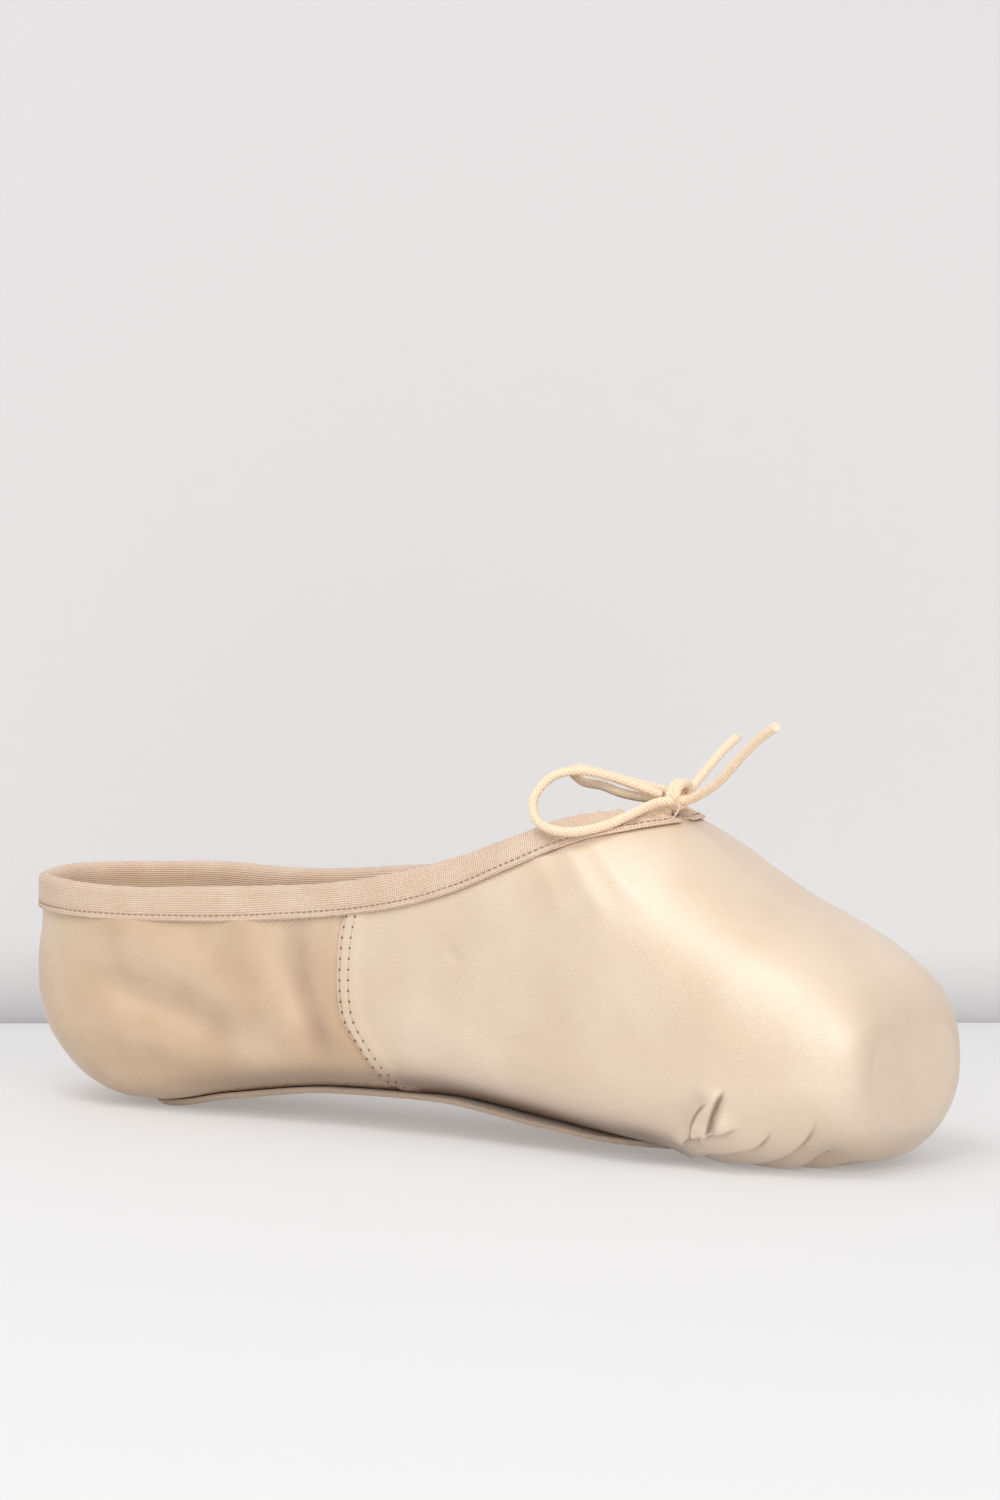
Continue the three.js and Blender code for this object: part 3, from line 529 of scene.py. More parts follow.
def signed_distance(x, g, line):
    """Distance of each point from a line in the cloth's plane, positive on its left, and the share along
    it of the nearest place."""
    nearest = np.full(x.shape, 1e9)
    place = np.zeros(x.shape)
    run = 0.0
    for (ax, ag), (bx, bg) in zip(line, line[1:]):
        dx, dg = bx - ax, bg - ag
        span = math.hypot(dx, dg)
        t = np.clip(((x - ax) * dx + (g - ag) * dg) / span**2, 0, 1)
        ox, og = x - ax - t * dx, g - ag - t * dg
        gap = np.hypot(ox, og)
        closer = gap < np.abs(nearest)
        nearest = np.where(closer, np.where(dx * og - dg * ox >= 0, gap, -gap), nearest)
        place = np.where(closer, run + t * span, place)
        run += span
    return nearest, place / run


# The creases at the toe's lower edge, as [walk, girth] lines from the upper end down to the outsole, each
# with the height of the lap on its right and how wide that is.
PLEATS = [
    ([(206.4, 43.2), (204.4, 39.6), (202.6, 36.4), (201.2, 33.2)], 0.9, 3.2),
    ([(203.2, 40.6), (200.6, 38.9), (198.2, 36.4), (196, 32.4), (196.4, 29)], -0.9, 3.4),
    ([(208.4, 33.4), (204.6, 32.4), (200.6, 31.4), (196.4, 30.4), (192.8, 27.6)], 1.1, 3.0),
    ([(216.6, 32.4), (214.2, 29.6), (210.8, 27.2), (204.8, 25.6), (196, 22.6), (189, 17)], 0.95, 5.2),
    ([(226.6, 32.4), (225, 29), (221.4, 25.4), (216.8, 22.8), (210.6, 20.4), (200, 16.6), (190, 11)],
     1.05, 6.2),
    ([(227, 20.5), (222.2, 17.6), (214, 14.6), (202, 10.5), (191, 6)], 1.2, 5),
    ([(229.5, 12), (222, 9.6), (210, 6.6), (192, 2.2)], 0.9, 4),
    ([(229, 4), (220, 3.2), (206, 2), (194, 0.6)], 0.6, 3),
]
PLEAT_DEPTH = 1.3
CREASE_WIDTH = 0.42
# Round swellings at the toe's lower edge, as (walk, girth, height, width): the gathered knob and a dent.
SWELLINGS = [(205.2, 34.6, 1.0, 2.4), (222, 17, -1.3, 4.2)]


def pleat_heights(walk, g, shift):
    """Height of the folds at the toe's lower edge, and the painted shade along their creases, from 0 to 1."""
    height = np.zeros(walk.shape)
    painted_shade = np.zeros(walk.shape)
    around = (walk > 180) & (walk < LENGTH) & (g < 52)
    x, y = walk[around] - shift[0], g[around] - shift[1]
    raised, dark = np.zeros(x.shape), np.zeros(x.shape)
    for line, lap_height, reach in PLEATS:
        distance, place = signed_distance(x, y, smooth_path(line, 1.2))
        distance = -distance
        fade = smooth(0, 0.3, place)
        behind = np.maximum(distance, 0)
        lap = np.where(distance > 0, 1 - np.exp(-behind / 0.3), 0) * bump_at(behind, reach)
        before = 0.45 * bump_at(np.minimum(distance, 0), 1.2) * (distance <= 0)
        raised = raised + PLEAT_DEPTH * fade * lap_height * (lap - before)
        # painted shade along each crease
        dark = np.maximum(dark, fade * bump_at(distance, CREASE_WIDTH))
    for at_x, at_y, swelling, width in SWELLINGS:
        raised = raised + swelling * bump_at(np.hypot(x - at_x, y - at_y), width)
    height[around], painted_shade[around] = raised, dark
    return height * (1 - smooth(226, 233, walk)), painted_shade * (1 - smooth(226, 232, walk))


def soft_waves(run, g, side):
    """The slight unevenness of hand-lasted cloth."""
    slow = np.sin(run / 14 + g / 21 + side) * np.sin(g / 13 - run / 37 + 2 * side)
    quick = np.sin(run / 4.1 - g / 6.3 + 3 * side) * np.sin(g / 5.2 + run / 13)
    return 0.12 * slow + 0.025 * quick


def off_the_middle(walk, g):
    """Fades what differs from side to side where the two sides meet, at the crown line and under the sole."""
    return smooth(0, 14, girth(walk, np.full_like(walk, 90)) - g) * smooth(0, 5, g)


# Long soft folds, as [walk, girth] lines with their height and width.
VAMP_FOLDS = [
    ([(150, 84), (172, 76), (196, 68)], 0.35, 7),
    ([(128, 70), (146, 66), (170, 60)], 0.3, 6),
    ([(146, 92), (154, 95), (162, 98)], 0.45, 3.2),
    ([(138, 86), (148, 88), (158, 90)], -0.35, 2.6),
    ([(129.5, 54), (131.5, 57.5)], -0.5, 2.4),
    ([(104, 40), (122, 38), (150, 33)], 0.5, 5),
    ([(103, 70), (116, 74), (132, 84)], 0.35, 5),
    ([(158, 97), (168, 90), (182, 80)], 0.3, 2.2),
    ([(152, 93), (162, 85), (176, 74)], 0.28, 2.6),
    ([(146, 89), (152, 82), (164, 72)], 0.25, 2.4),
    ([(231.5, 22), (232.2, 34), (231.4, 50)], 0.4, 1.7),
]
QUARTER_FOLDS = [
    ([(24, 66), (40, 60), (57, 49), (78, 33)], 1.7, 5.5),
    ([(22, 54), (46, 46), (62, 38), (74, 28)], -1.53, 4.5),
    ([(26, 42), (44, 36), (60, 30)], 1.36, 5),
    ([(86, 64), (84, 52), (88, 38), (95, 22)], -1.36, 4.5),
    ([(72, 70), (70, 58), (76, 44), (88, 28)], 1.19, 5),
    ([(8, 60), (14, 46), (24, 30)], 0.85, 6),
]


def folds(walk, g, lines, shift):
    height = np.zeros(walk.shape)
    for line, fold_height, width in lines:
        distance, place = signed_distance(walk - shift, g, smooth_path(line, 3))
        ends = smooth(0, 0.3, place) * (1 - smooth(0.75, 1, place))
        height = height + fold_height * ends * bump_at(distance, width)
    return height


def cloth_of(walk, turn, side):
    """Cloth coordinates: along the shoe, and round the section from the crown line."""
    across = girth(walk, np.full_like(walk, 90)) - girth(walk, turn)
    return np.stack([cloth_run(walk), side * across], -1)


def painted_sole_shade(walk, turn):
    """Painted shade on the cloth close to the outsole's edge, where it is turned under."""
    points = skin(walk, turn)
    above = points[..., 2] - underside(points[..., 0]) - OUTSOLE
    near = 0.5 * (1 - smooth(2, 10.5, above)) + 0.5 * (1 - smooth(2.5, 7, above))
    return near * smooth(20, 80, walk) * (1 - 0.85 * smooth(178, 196, walk))


def on_floor(points):
    """The cloth flattens where it would sink into the floor."""
    points[..., 2] = np.maximum(points[..., 2], 0.02)
    return points


def vamp_patches(side):
    """The vamp's wall, and its end over the platform, where the cloth's ribs run level."""
    on_platform = 30 // FINE
    walk, turn = vamp_grid(satin_low_turn, 108 // FINE, 128 // FINE, 20 // FINE, on_platform, 204 // FINE)
    g = girth(walk, turn)
    t = np.linspace(0, 1, walk.shape[1])[None, :]
    from_seam = walk - seam_walk(t)
    shift = (0, 0) if side == NEAR else (1.6, -1.4)
    pleats, painted_shade = pleat_heights(walk, g, shift)
    height = pleats + folds(walk, g, VAMP_FOLDS, 0 if side == NEAR else 4)
    height = height + soft_waves(cloth_run(walk), g, side) * (1 - smooth(200, 226, walk))
    height = height * off_the_middle(walk, g) * (1 - smooth(LENGTH, LENGTH + 0.5, walk))
    lap = 1 - smooth(SEAM_LAP, SEAM_LAP + 3, from_seam)
    height = height + lap * LAP_RAISE
    for row_inset in SEAM_ROWS:
        height = height - 0.12 * bump_at(from_seam - row_inset, 0.5)
    # The edge itself turns down to the quarter.
    height[0] -= LAP_RAISE * 1.6
    height[1] -= LAP_RAISE * 0.3
    # painted shade along the pleats' creases and near the outsole
    shade = np.maximum(painted_shade, painted_sole_shade(walk, turn))
    points = on_floor(skin(walk, turn, -height, side))
    wall, end = slice(None, -on_platform), slice(-on_platform - 1, None)
    return [Patch(points[wall], cloth_of(walk, turn, side)[wall], shade[wall], flip=side > 0),
            Patch(points[end], points[end][..., 1:], shade[end], flip=side > 0)]


def quarter_patch(side):
    share = np.linspace(0, 1, 150 // FINE + 1)[:, None]
    t = np.linspace(0, 1, 120 // FINE + 1)[None, :]
    edge_walk, edge_turn = below_top_line(SEAM_SHARE * share, CLOTH_DROP)
    walk = edge_walk + (seam_lean(t) + SEAM_LAP * 0.8) * share**3
    low_walk = edge_walk + seam_lean(0) * share**3
    turn = mix(satin_low_turn(low_walk), edge_turn, t)
    g = girth(walk, turn)
    from_seam = seam_walk(t) - walk
    folded = folds(walk, g, QUARTER_FOLDS, 0 if side == NEAR else -5)
    height = (folded + soft_waves(cloth_run(walk), g, side + 2)) * (1 - smooth(-12, 0, -from_seam))
    # painted shade in the folds' troughs and near the outsole
    shade = 0.2 * smooth(0.1, 1.4, -folded) + 0.7 * painted_sole_shade(walk, turn)
    height = height - 0.5 * (1 - smooth(-0.2, 2.6, from_seam))  # under the vamp
    height = height - 0.55 * bump_at(cloth_run(walk), 0.7)  # drawn in along the back seam
    points = on_floor(skin(np.maximum(walk, 0.05), turn, -height, side))
    return Patch(points, cloth_of(walk, turn, side), shade, flip=side > 0)


vamp = mesh_piece("satin_vamp", vamp_patches(NEAR) + vamp_patches(FAR))
quarters = {side: mesh_piece(f"satin_quarter_{word}", [quarter_patch(side)]) for side, word in SIDES}

# ---------------------------------------------------------------- Linings


def lining_depth(walk, turn):
    """The lining steps in where the box lies between it and the satin."""
    back = box_back((turn + 90) / 180)
    return mix(LINING_DEPTH, BOX_LINING_DEPTH, smooth(back - 10, back - 1.5, walk)) + LINING


def lining_patch(side):
    walk, turn = vamp_grid(lining_low_turn, 40, 30, 8, 12, 60)
    ripple = 0.08 * np.sin(walk / 5 + side) * np.sin(turn / 9)
    points = skin(walk, turn, lining_depth(walk, turn) - ripple, side)
    return Patch(points, cloth_of(walk, turn, side), flip=side < 0)


def quarter_lining_patch(side):
    share = np.linspace(0, 1, 61)[:, None]
    t = np.linspace(0, 1, 41)[None, :]
    edge_walk, edge_turn = below_top_line(SEAM_SHARE * share, CLOTH_DROP)
    walk = edge_walk + seam_lean(t) * share**3
    turn = mix(lining_low_turn(edge_walk + seam_lean(0) * share**3), edge_turn, t)
    ripple = 0.12 * np.sin(walk / 6 + 2 * side) * np.sin(turn / 8 + walk / 15)
    points = skin(walk, turn, LINING_DEPTH + HEEL_EASE + LINING + ripple, side)
    return Patch(points, cloth_of(walk, turn, side), flip=side < 0)


vamp_lining = mesh_piece("lining_vamp", [lining_patch(NEAR), lining_patch(FAR)])
quarter_linings = {side: mesh_piece(f"lining_quarter_{word}", [quarter_lining_patch(side)])
                   for side, word in SIDES}

TAPE_HALF_WALK = 4.5
TAPE_DEPTH = 3.1
TAPE_TOP = float(below_top_line(0.0, 5.6)[1])


def tape_patch(side):
    walk = np.linspace(0, TAPE_HALF_WALK, 13)[:, None]
    turn = np.linspace(-20, TAPE_TOP, 60)[None, :]
    edge = 0.35 * smooth(TAPE_HALF_WALK - 0.8, TAPE_HALF_WALK, walk)
    points = skin(walk + 0 * turn, turn, TAPE_DEPTH - edge, side)
    return Patch(points, stacked(cloth_run(walk) * side, turn * 0.6), flip=side < 0)


heel_tape = mesh_piece("tape_of_heel_seam", [tape_patch(NEAR), tape_patch(FAR)])


def sock_patch(up):
    walk = (SOCK_FRONT * np.linspace(0, 1, 141))[:, None]
    across = np.linspace(-1, 1, 41)[None, :]
    height = underside(walk) + sock_lift(walk)
    depth = mix(LINING_DEPTH, BOX_LINING_DEPTH, smooth(122, 146, walk)) + LINING + 0.3
    edge = skin(walk, turn_at_height(walk, height, depth), depth)
    ends = np.sqrt(np.maximum(1 - past_ends(walk, -SOCK_FRONT, SOCK_FRONT, 1, 20) ** 2, 0))
    half = np.maximum(edge[..., 1] - SOCK_EASE, 0) * ends
    x = edge[..., 0] + SOCK_EASE * (1 - walk / SOCK_FRONT)
    rolled = 0.3 * smooth(0.93, 1, np.abs(across))
    lift = height + (LINING - rolled if up else rolled)
    wave = 0.12 * np.sin(x / 7) * np.sin(across * 4 + x / 19)
    points = stacked(x, half * across, lift + (wave if up else 0))
    return Patch(points, points[..., :2], flip=not up)


sock = mesh_piece("sock_of_lining", [sock_patch(True), sock_patch(False)])

# ---------------------------------------------------------------- Top binding

# The binding's section as (drop below the top line, depth), from its lower outer fold to its inner edge.
BINDING_SECTION = [(7.9, -0.25), (8.5, -0.5), (8.3, -1.0), (7.7, -1.12), (7.25, -0.85), (6.8, -0.82),
                   (6, -0.95), (4.5, -0.98), (3.2, -1.05), (2.1, -1.1), (1.1, -0.85), (0.35, -0.15),
                   (0.02, 0.95), (0.35, 1.9), (1.2, 2.5), (2.4, 2.75), (3.6, 2.7), (5, 2.55), (6.4, 2.45),
                   (6.8, 2.3), (6.7, 1.85)]
BINDING_STITCHES = [(-0.98, 7.05), (2.5, 6.1)]  # depth and drop of the rows outside and inside
BINDING_END = 1 - 1.8 / HALF_TOP_LINE
GATHER_START = 0.86  # share of the top line where the gathers at the throat begin
binding_section = smooth_path(BINDING_SECTION, 0.42)
section_run = runs_along(binding_section)


def binding_patch(side):
    share = (BINDING_END * (1 - (1 - np.linspace(0, 1, 360 // FINE + 1)) ** 1.2))[:, None]
    drop = binding_section[None, :, 0] + 0 * share
    run = share * HALF_TOP_LINE
    outer = 1 - smooth(-0.4, 1.2, binding_section[None, :, 1])
    gather = smooth(GATHER_START, 0.97, share) * (0.35 * np.sin(run * 1.55) + 0.15 * np.sin(run * 2.7 + 1))
    wave = (0.1 * np.sin(run / 6.3 + side) + 0.06 * np.sin(run / 2.4)) * smooth(0, 6, run)
    height = outer * (wave + gather * smooth(8.5, 5, drop)) * smooth(8.4, 7, drop)
    walk, turn = below_top_line(share + 0 * drop, drop)
    points = skin(walk, turn, binding_section[None, :, 1] - height, side)
    points[..., 2] += 0.22 * np.sin(run / 8 + 2 * side) * smooth(0, 9, run) * (1 - smooth(0, 5, drop))
    cloth = stacked(run * side, section_run[None, :])
    # The end is turned in and sewn shut.
    folded_end = mix(points[-1:], points[-1].mean(axis=0), 0.9)
    points = np.concatenate([points, folded_end])
    cloth = np.concatenate([cloth, cloth[-1:] + (1.5, 0)])
    return Patch(points, cloth, flip=side < 0)


binding = mesh_piece("binding_of_top", [binding_patch(NEAR), binding_patch(FAR)])

casing_share = BINDING_END * (1 - (1 - np.linspace(0, 1, 60)) ** 1.3)
casing = skin(*below_top_line(casing_share, CASING_DROP), CASING_DEPTH)
cased_path = np.concatenate([casing[::-1] * (1, NEAR, 1), casing[1:]])
cased = mesh_piece("drawstring_in_casing", [tube(smooth_path(cased_path, 1.5), CASED_CORD)])

# ---------------------------------------------------------------- Stitching

STITCH_SIDES = 6
capsule_along = np.array([-0.5, -0.42, -0.2, 0.2, 0.42, 0.5])
capsule_round = np.array([0, 0.62, 1, 1, 0.62, 0])


def stitches(centres, directions, length, thread):
    """A short rounded thread at each centre."""
    side = unit(np.cross(directions, (0.13, 0.27, 0.95)))
    across = np.cross(directions, side)
    angle = np.linspace(0, 2 * math.pi, STITCH_SIDES + 1)
    patches = []
    for centre, direction, a, b in zip(centres, directions, side, across):
        ring = np.cos(angle)[None, :, None] * a + np.sin(angle)[None, :, None] * b
        line = centre + length * capsule_along[:, None, None] * direction
        points = line + (thread / 2) * capsule_round[:, None, None] * ring
        cloth = stacked(length * capsule_along[:, None], angle[None, :] * thread)
        patches.append(Patch(points, cloth, flip=True))
    return patches


def stitch_line(path, pitch, length, thread):
    """Threads between the needle holes of a row."""
    line = smooth_path(path, pitch)
    centres = (line[1:] + line[:-1]) / 2
    return stitches(centres, unit(line[1:] - line[:-1]), length, thread)


def needle_holes(path, pitch, length, thread):
    """Painted shade: dark specks where the needle went through."""
    line = smooth_path(path, pitch)
    return stitches(line, unit(np.gradient(line, axis=0)), length, thread)


def sewn(name, make, paths, *sizes):
    """One piece of all the rows' threads or holes; the sizes are pitch, length and thickness."""
    return mesh_piece(name, [patch for path in paths for patch in make(path, *sizes)], weld=False)


def binding_stitch_path(side, face_depth, drop):
    share = BINDING_END * (1 - (1 - np.linspace(0, 0.985, 150)) ** 1.2)
    return skin(*below_top_line(share, drop), face_depth, side)


binding_rows = [binding_stitch_path(side, *place) for place in BINDING_STITCHES for side in (NEAR, FAR)]
binding_stitching = sewn("stitching_of_binding", stitch_line, binding_rows, 1.6, 1.15, 0.34)

SEAM_PITCH = 2.5


def seam_row(side, inset):
    t = np.linspace(0.03, 0.985, 90)
    walk = seam_walk(t) + inset
    share = (walk - SEAM_EDGE) / (THROAT_EDGE - SEAM_EDGE)
    edge_turn = below_top_line(mix(SEAM_SHARE, 1, np.clip(share, 0, 1) * 0.5), CLOTH_DROP)[1]
    turn = mix(satin_low_turn(walk), edge_turn, t)
    return skin(walk, turn, -LAP_RAISE + 0.1, side)


seam_rows = [seam_row(side, inset) for side in (NEAR, FAR) for inset in SEAM_ROWS]
seam_stitching = sewn("stitching_of_side_seams", stitch_line, seam_rows, SEAM_PITCH, 2.0, 0.24)
seam_holes = sewn("needle_holes_of_side_seams", needle_holes, seam_rows, SEAM_PITCH, 0.62, 0.5)

# ---------------------------------------------------------------- Outsole and inner boards


def outsole_piece():
    """A leather board with a bevelled, slightly ragged edge."""
    share = (1 - np.cos(np.pi * np.linspace(0, 1, 220))) / 2
    x = mix(OUTSOLE_BACK, OUTSOLE_FRONT, share)[:, None]
    half = outsole_half_width(x)
    ragged = 0.16 * np.sin(x * 1.9) + 0.12 * np.sin(x * 4.3 + 1) + 0.2 * np.sin(x / 5)
    # From one upper edge round underneath to the other: share of the half width, inset and height.
    profile = [(-1, 0.0, OUTSOLE), (-1, -0.12, OUTSOLE * 0.75), (-1, 0.05, 1.0), (-1, 0.55, 0.45),
               (-1, 1.2, 0.08)]
    profile += [(k, 1.2, 0.0) for k in np.linspace(-0.94, 0.94, 25)]
    profile += [(1, inset, height) for _, inset, height in profile[4::-1]]
    across, inset, height = (np.array(column)[None, :] for column in zip(*profile))
    y = across * np.maximum(half + ragged * (half > 3) - inset, 0)
    at_edge = (np.abs(across) >= 1) + 0 * x
    below = Patch(stacked(x, y, underside(x) + height), stacked(x, y + height), at_edge, flip=True)
    top_y = np.linspace(-1, 1, 15)[None, :] * half
    top = Patch(stacked(x, top_y, underside(x) + OUTSOLE), stacked(x, top_y))
    return mesh_piece("sole_of_leather", [below, top])


outsole = outsole_piece()


def copy_of(node, name):
    """The hidden board's own shape, as a mesh of its own with its sharp edges slightly rounded."""
    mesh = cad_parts[node].data.copy()
    mesh.name = name
    mesh.materials.clear()
    piece = bpy.data.objects.new(name, mesh)
    bpy.context.scene.collection.objects.link(piece)
    work = bmesh.new()
    work.from_mesh(mesh)
    bmesh.ops.remove_doubles(work, verts=work.verts, dist=1e-7)
    sharp = [edge for edge in work.edges if len(edge.link_faces) == 2 and edge.calc_face_angle() > 1]
    bmesh.ops.bevel(work, geom=sharp, offset=0.0002, segments=2, affect="EDGES", clamp_overlap=True)
    work.to_mesh(mesh)
    work.free()
    return piece


insole = copy_of("insole_board", "board_of_insole")
shank = copy_of("shank_board", "board_of_shank")

# ---------------------------------------------------------------- Materials


class Shader:
    """Builds one material's nodes. Numbers, colours and sockets can all be given as inputs."""

    def __init__(self, name):
        self.material = bpy.data.materials.new(name)
        self.material.use_nodes = True
        self.tree = self.material.node_tree
        self.principled = self.tree.nodes["Principled BSDF"]

    def put(self, socket, value):
        if isinstance(value, bpy.types.NodeSocket):
            self.tree.links.new(value, socket)
        else:
            socket.default_value = value

    def node(self, kind, settings=None, **inputs):
        node = self.tree.nodes.new("ShaderNode" + kind)
        for name, value in (settings or {}).items():
            setattr(node, name, value)
        for name, value in inputs.items():
            self.put(node.inputs[name.replace("_", " ")], value)
        return node

    def math(self, operation, *values):
        node = self.node("Math", {"operation": operation})
        for socket, value in zip(node.inputs, values):
            self.put(socket, value)
        return node.outputs[0]

    def times(self, a, b):
        return self.math("MULTIPLY", a, b)

    def plus(self, a, b):
        return self.math("ADD", a, b)

    def wave(self, along, pitch, phase=0.0):
        """A sine of the coordinate, from -1 to 1."""
        angle = self.math("MULTIPLY_ADD", along, 2 * math.pi / pitch, phase)
        return self.math("SINE", angle)

    def noise(self, where, scale, detail=2.0, roughness=0.5):
        node = self.node("TexNoise", Vector=where, Scale=scale, Detail=detail, Roughness=roughness)
        return node.outputs["Fac"]

    def drawn_out(self, where, scale):
        """Coordinates scaled by their own amount each way, for streaks."""
        return self.node("Mapping", Vector=where, Scale=scale).outputs[0]

    def shade(self):
        """The mesh's shade, from 0 to 1: painted shade on the satin, the darker cut edge on the leather."""
        return self.node("Attribute", {"attribute_name": "shade"}).outputs["Fac"]

    def mix(self, share, a, b):
        node = self.node("Mix", {"data_type": "RGBA"})
        for socket, value in ((node.inputs[0], share), (node.inputs[6], a), (node.inputs[7], b)):
            self.put(socket, value)
        return node.outputs[2]

    def spread(self, value, low, high, to_low=0.0, to_high=1.0):
        node = self.node("MapRange", {"clamp": True}, Value=value)
        for socket, number in zip(node.inputs[1:5], (low, high, to_low, to_high)):
            self.put(socket, number)
        return node.outputs[0]

    def cloth(self):
        """The cloth coordinates in millimetres: along, across and both as a vector."""
        where = self.node("UVMap", {"uv_map": "cloth"}).outputs[0]
        parts = self.node("SeparateXYZ", Vector=where)
        return parts.outputs[0], parts.outputs[1], where

    def place(self):
        return self.node("TexCoord").outputs["Object"]

    def surface(self, height=None, distance=0.1 * MM, strength=1.0, **inputs):
        for name, value in inputs.items():
            self.put(self.principled.inputs[name.replace("_", " ")], value)
        if height is not None:
            bump = self.node("Bump", Height=height, Distance=distance, Strength=strength)
            self.put(self.principled.inputs["Normal"], bump.outputs[0])
        return self.material

    def clear_from_behind(self):
        """Hides a stage surface from the side that is turned away from the shoe."""
        clear = self.node("BsdfTransparent")
        either = self.node("MixShader", Fac=self.node("NewGeometry").outputs["Backfacing"])
        self.put(either.inputs[1], self.principled.outputs[0])
        self.put(either.inputs[2], clear.outputs[0])
        self.put(self.tree.nodes["Material Output"].inputs["Surface"], either.outputs[0])
        return self.material


def srgb(red, green, blue):
    """A colour given as it looks on a screen, 0 to 255."""
    def linear(value):
        value /= 255
        return value / 12.92 if value <= 0.04045 else ((value + 0.055) / 1.055) ** 2.4
    return (*(linear(v) for v in (red, green, blue)), 1)


def satin_material(name, twill, pitch, relief, low, high):
    """Satin with a broad soft lustre: fine ribs along the shoe, or a twill where it is cut on the bias."""
    shader = Shader(name)
    along, across, where = shader.cloth()
    slub = shader.noise(where, 0.35, 3)
    drift = shader.times(slub, 2.2)
    line = shader.math("SUBTRACT", across, shader.times(along, twill))
    rib = shader.wave(line, pitch * math.hypot(1, twill), drift)
    thread = shader.noise(shader.drawn_out(where, (0.9, 5, 1)), 1.0, 4, 0.6)
    height = shader.plus(shader.times(rib, relief), shader.times(thread, 1.9))
    cloud = shader.noise(where, 0.035, 3)
    base = shader.mix(shader.spread(cloud, 0.35, 0.65), low, high)
    fine = shader.mix(shader.spread(rib, -1, 1, 0, 0.13), base, srgb(208, 173, 130))
    # The mesh's shade paints shade into the satin, brown in the pleats' creases, the quarters' fold troughs
    # and near the outsole.
    painted_shade = shader.shade()
    colour = shader.mix(shader.times(painted_shade, 0.92), fine, srgb(100, 58, 24))
    tangent = shader.node("Tangent", {"direction_type": "UV_MAP", "uv_map": "cloth"}).outputs[0]
    rough = shader.spread(thread, 0.3, 0.7, 0.37, 0.46)
    return shader.surface(height, 0.05 * MM, 0.8, Base_Color=colour, Roughness=rough, Metallic=0.05,
                          Anisotropic=0.55, Anisotropic_Rotation=0.25, Tangent=tangent, Sheen_Weight=0.1,
                          Sheen_Roughness=0.4, Sheen_Tint=srgb(255, 240, 224), Specular_IOR_Level=1.0,
                          Coat_Weight=0.7, Coat_Roughness=0.4, Coat_IOR=1.8)


def canvas_material(name, light, dark, pitch, bias):
    """Plain-woven cotton tape. With a bias its threads run slantwise, as in a binding cut to stretch."""
    shader = Shader(name)
    along, across, where = shader.cloth()
    wobble = shader.times(shader.noise(where, 0.8, 2), 1.6)
    if bias:
        warp = shader.plus(along, across)
        weft = shader.math("SUBTRACT", along, across)
    else:
        warp, weft = along, across
    a = shader.wave(warp, pitch, wobble)
    b = shader.wave(weft, pitch, wobble)
    weave = shader.times(a, b)
    fuzz = shader.noise(where, 5, 3, 0.7)
    height = shader.plus(weave, shader.times(fuzz, 0.9))
    cloud = shader.noise(where, 0.12, 3)
    base = shader.mix(shader.spread(cloud, 0.3, 0.7), light, shader.mix(0.3, light, dark))
    colour = shader.mix(shader.spread(weave, 0.3, -0.9, 0, 0.85), base, dark)
    return shader.surface(height, 0.16 * MM, 1.0, Base_Color=colour, Roughness=0.86, Sheen_Weight=0.3,
                          Sheen_Roughness=0.5, Specular_IOR_Level=0.25)


def drill_material(light, dark, pitch):
    """Cotton drill: a twill line across a fine thread."""
    shader = Shader("cotton_drill")
    along, across, where = shader.cloth()
    drift = shader.times(shader.noise(where, 0.5, 2), 2)
    twill = shader.wave(shader.plus(along, across), pitch, drift)
    fuzz = shader.noise(where, 4, 3, 0.7)
    height = shader.plus(twill, shader.times(fuzz, 1.2))
    cloud = shader.noise(where, 0.07, 4)
    worn = shader.mix(shader.spread(cloud, 0.35, 0.7), light, shader.mix(0.25, light, dark))
    colour = shader.mix(shader.spread(twill, 0, -1, 0, 0.35), worn, dark)
    return shader.surface(height, 0.09 * MM, 0.8, Base_Color=colour, Roughness=0.9, Sheen_Weight=0.25,
                          Specular_IOR_Level=0.2)


def braid_material():
    """Round cotton braid: strands crossing each other round the cord."""
    shader = Shader("cotton_braid")
    along, around, where = shader.cloth()
    strand_count, strand_pitch = 5, 1.15
    lead = shader.times(around, 2 * math.pi * strand_count / (math.pi * CORD))
    climb = shader.times(along, 2 * math.pi / strand_pitch)
    one = shader.math("SINE", shader.plus(climb, lead))
    other = shader.math("SINE", shader.math("SUBTRACT", climb, lead))
    strands = shader.math("MAXIMUM", one, other)
    fuzz = shader.noise(where, 7, 3, 0.7)
    height = shader.plus(strands, shader.times(fuzz, 0.7))
    shade = shader.spread(strands, 0.6, -0.5, 0, 0.35)
    colour = shader.mix(shade, srgb(255, 231, 200), srgb(232, 182, 138))
    return shader.surface(height, 0.1 * MM, 0.8, Base_Color=colour, Roughness=0.8, Sheen_Weight=0.5,
                          Sheen_Roughness=0.45, Specular_IOR_Level=0.3, Subsurface_Weight=0.08,
                          Subsurface_Radius=(0.001, 0.0007, 0.0004))


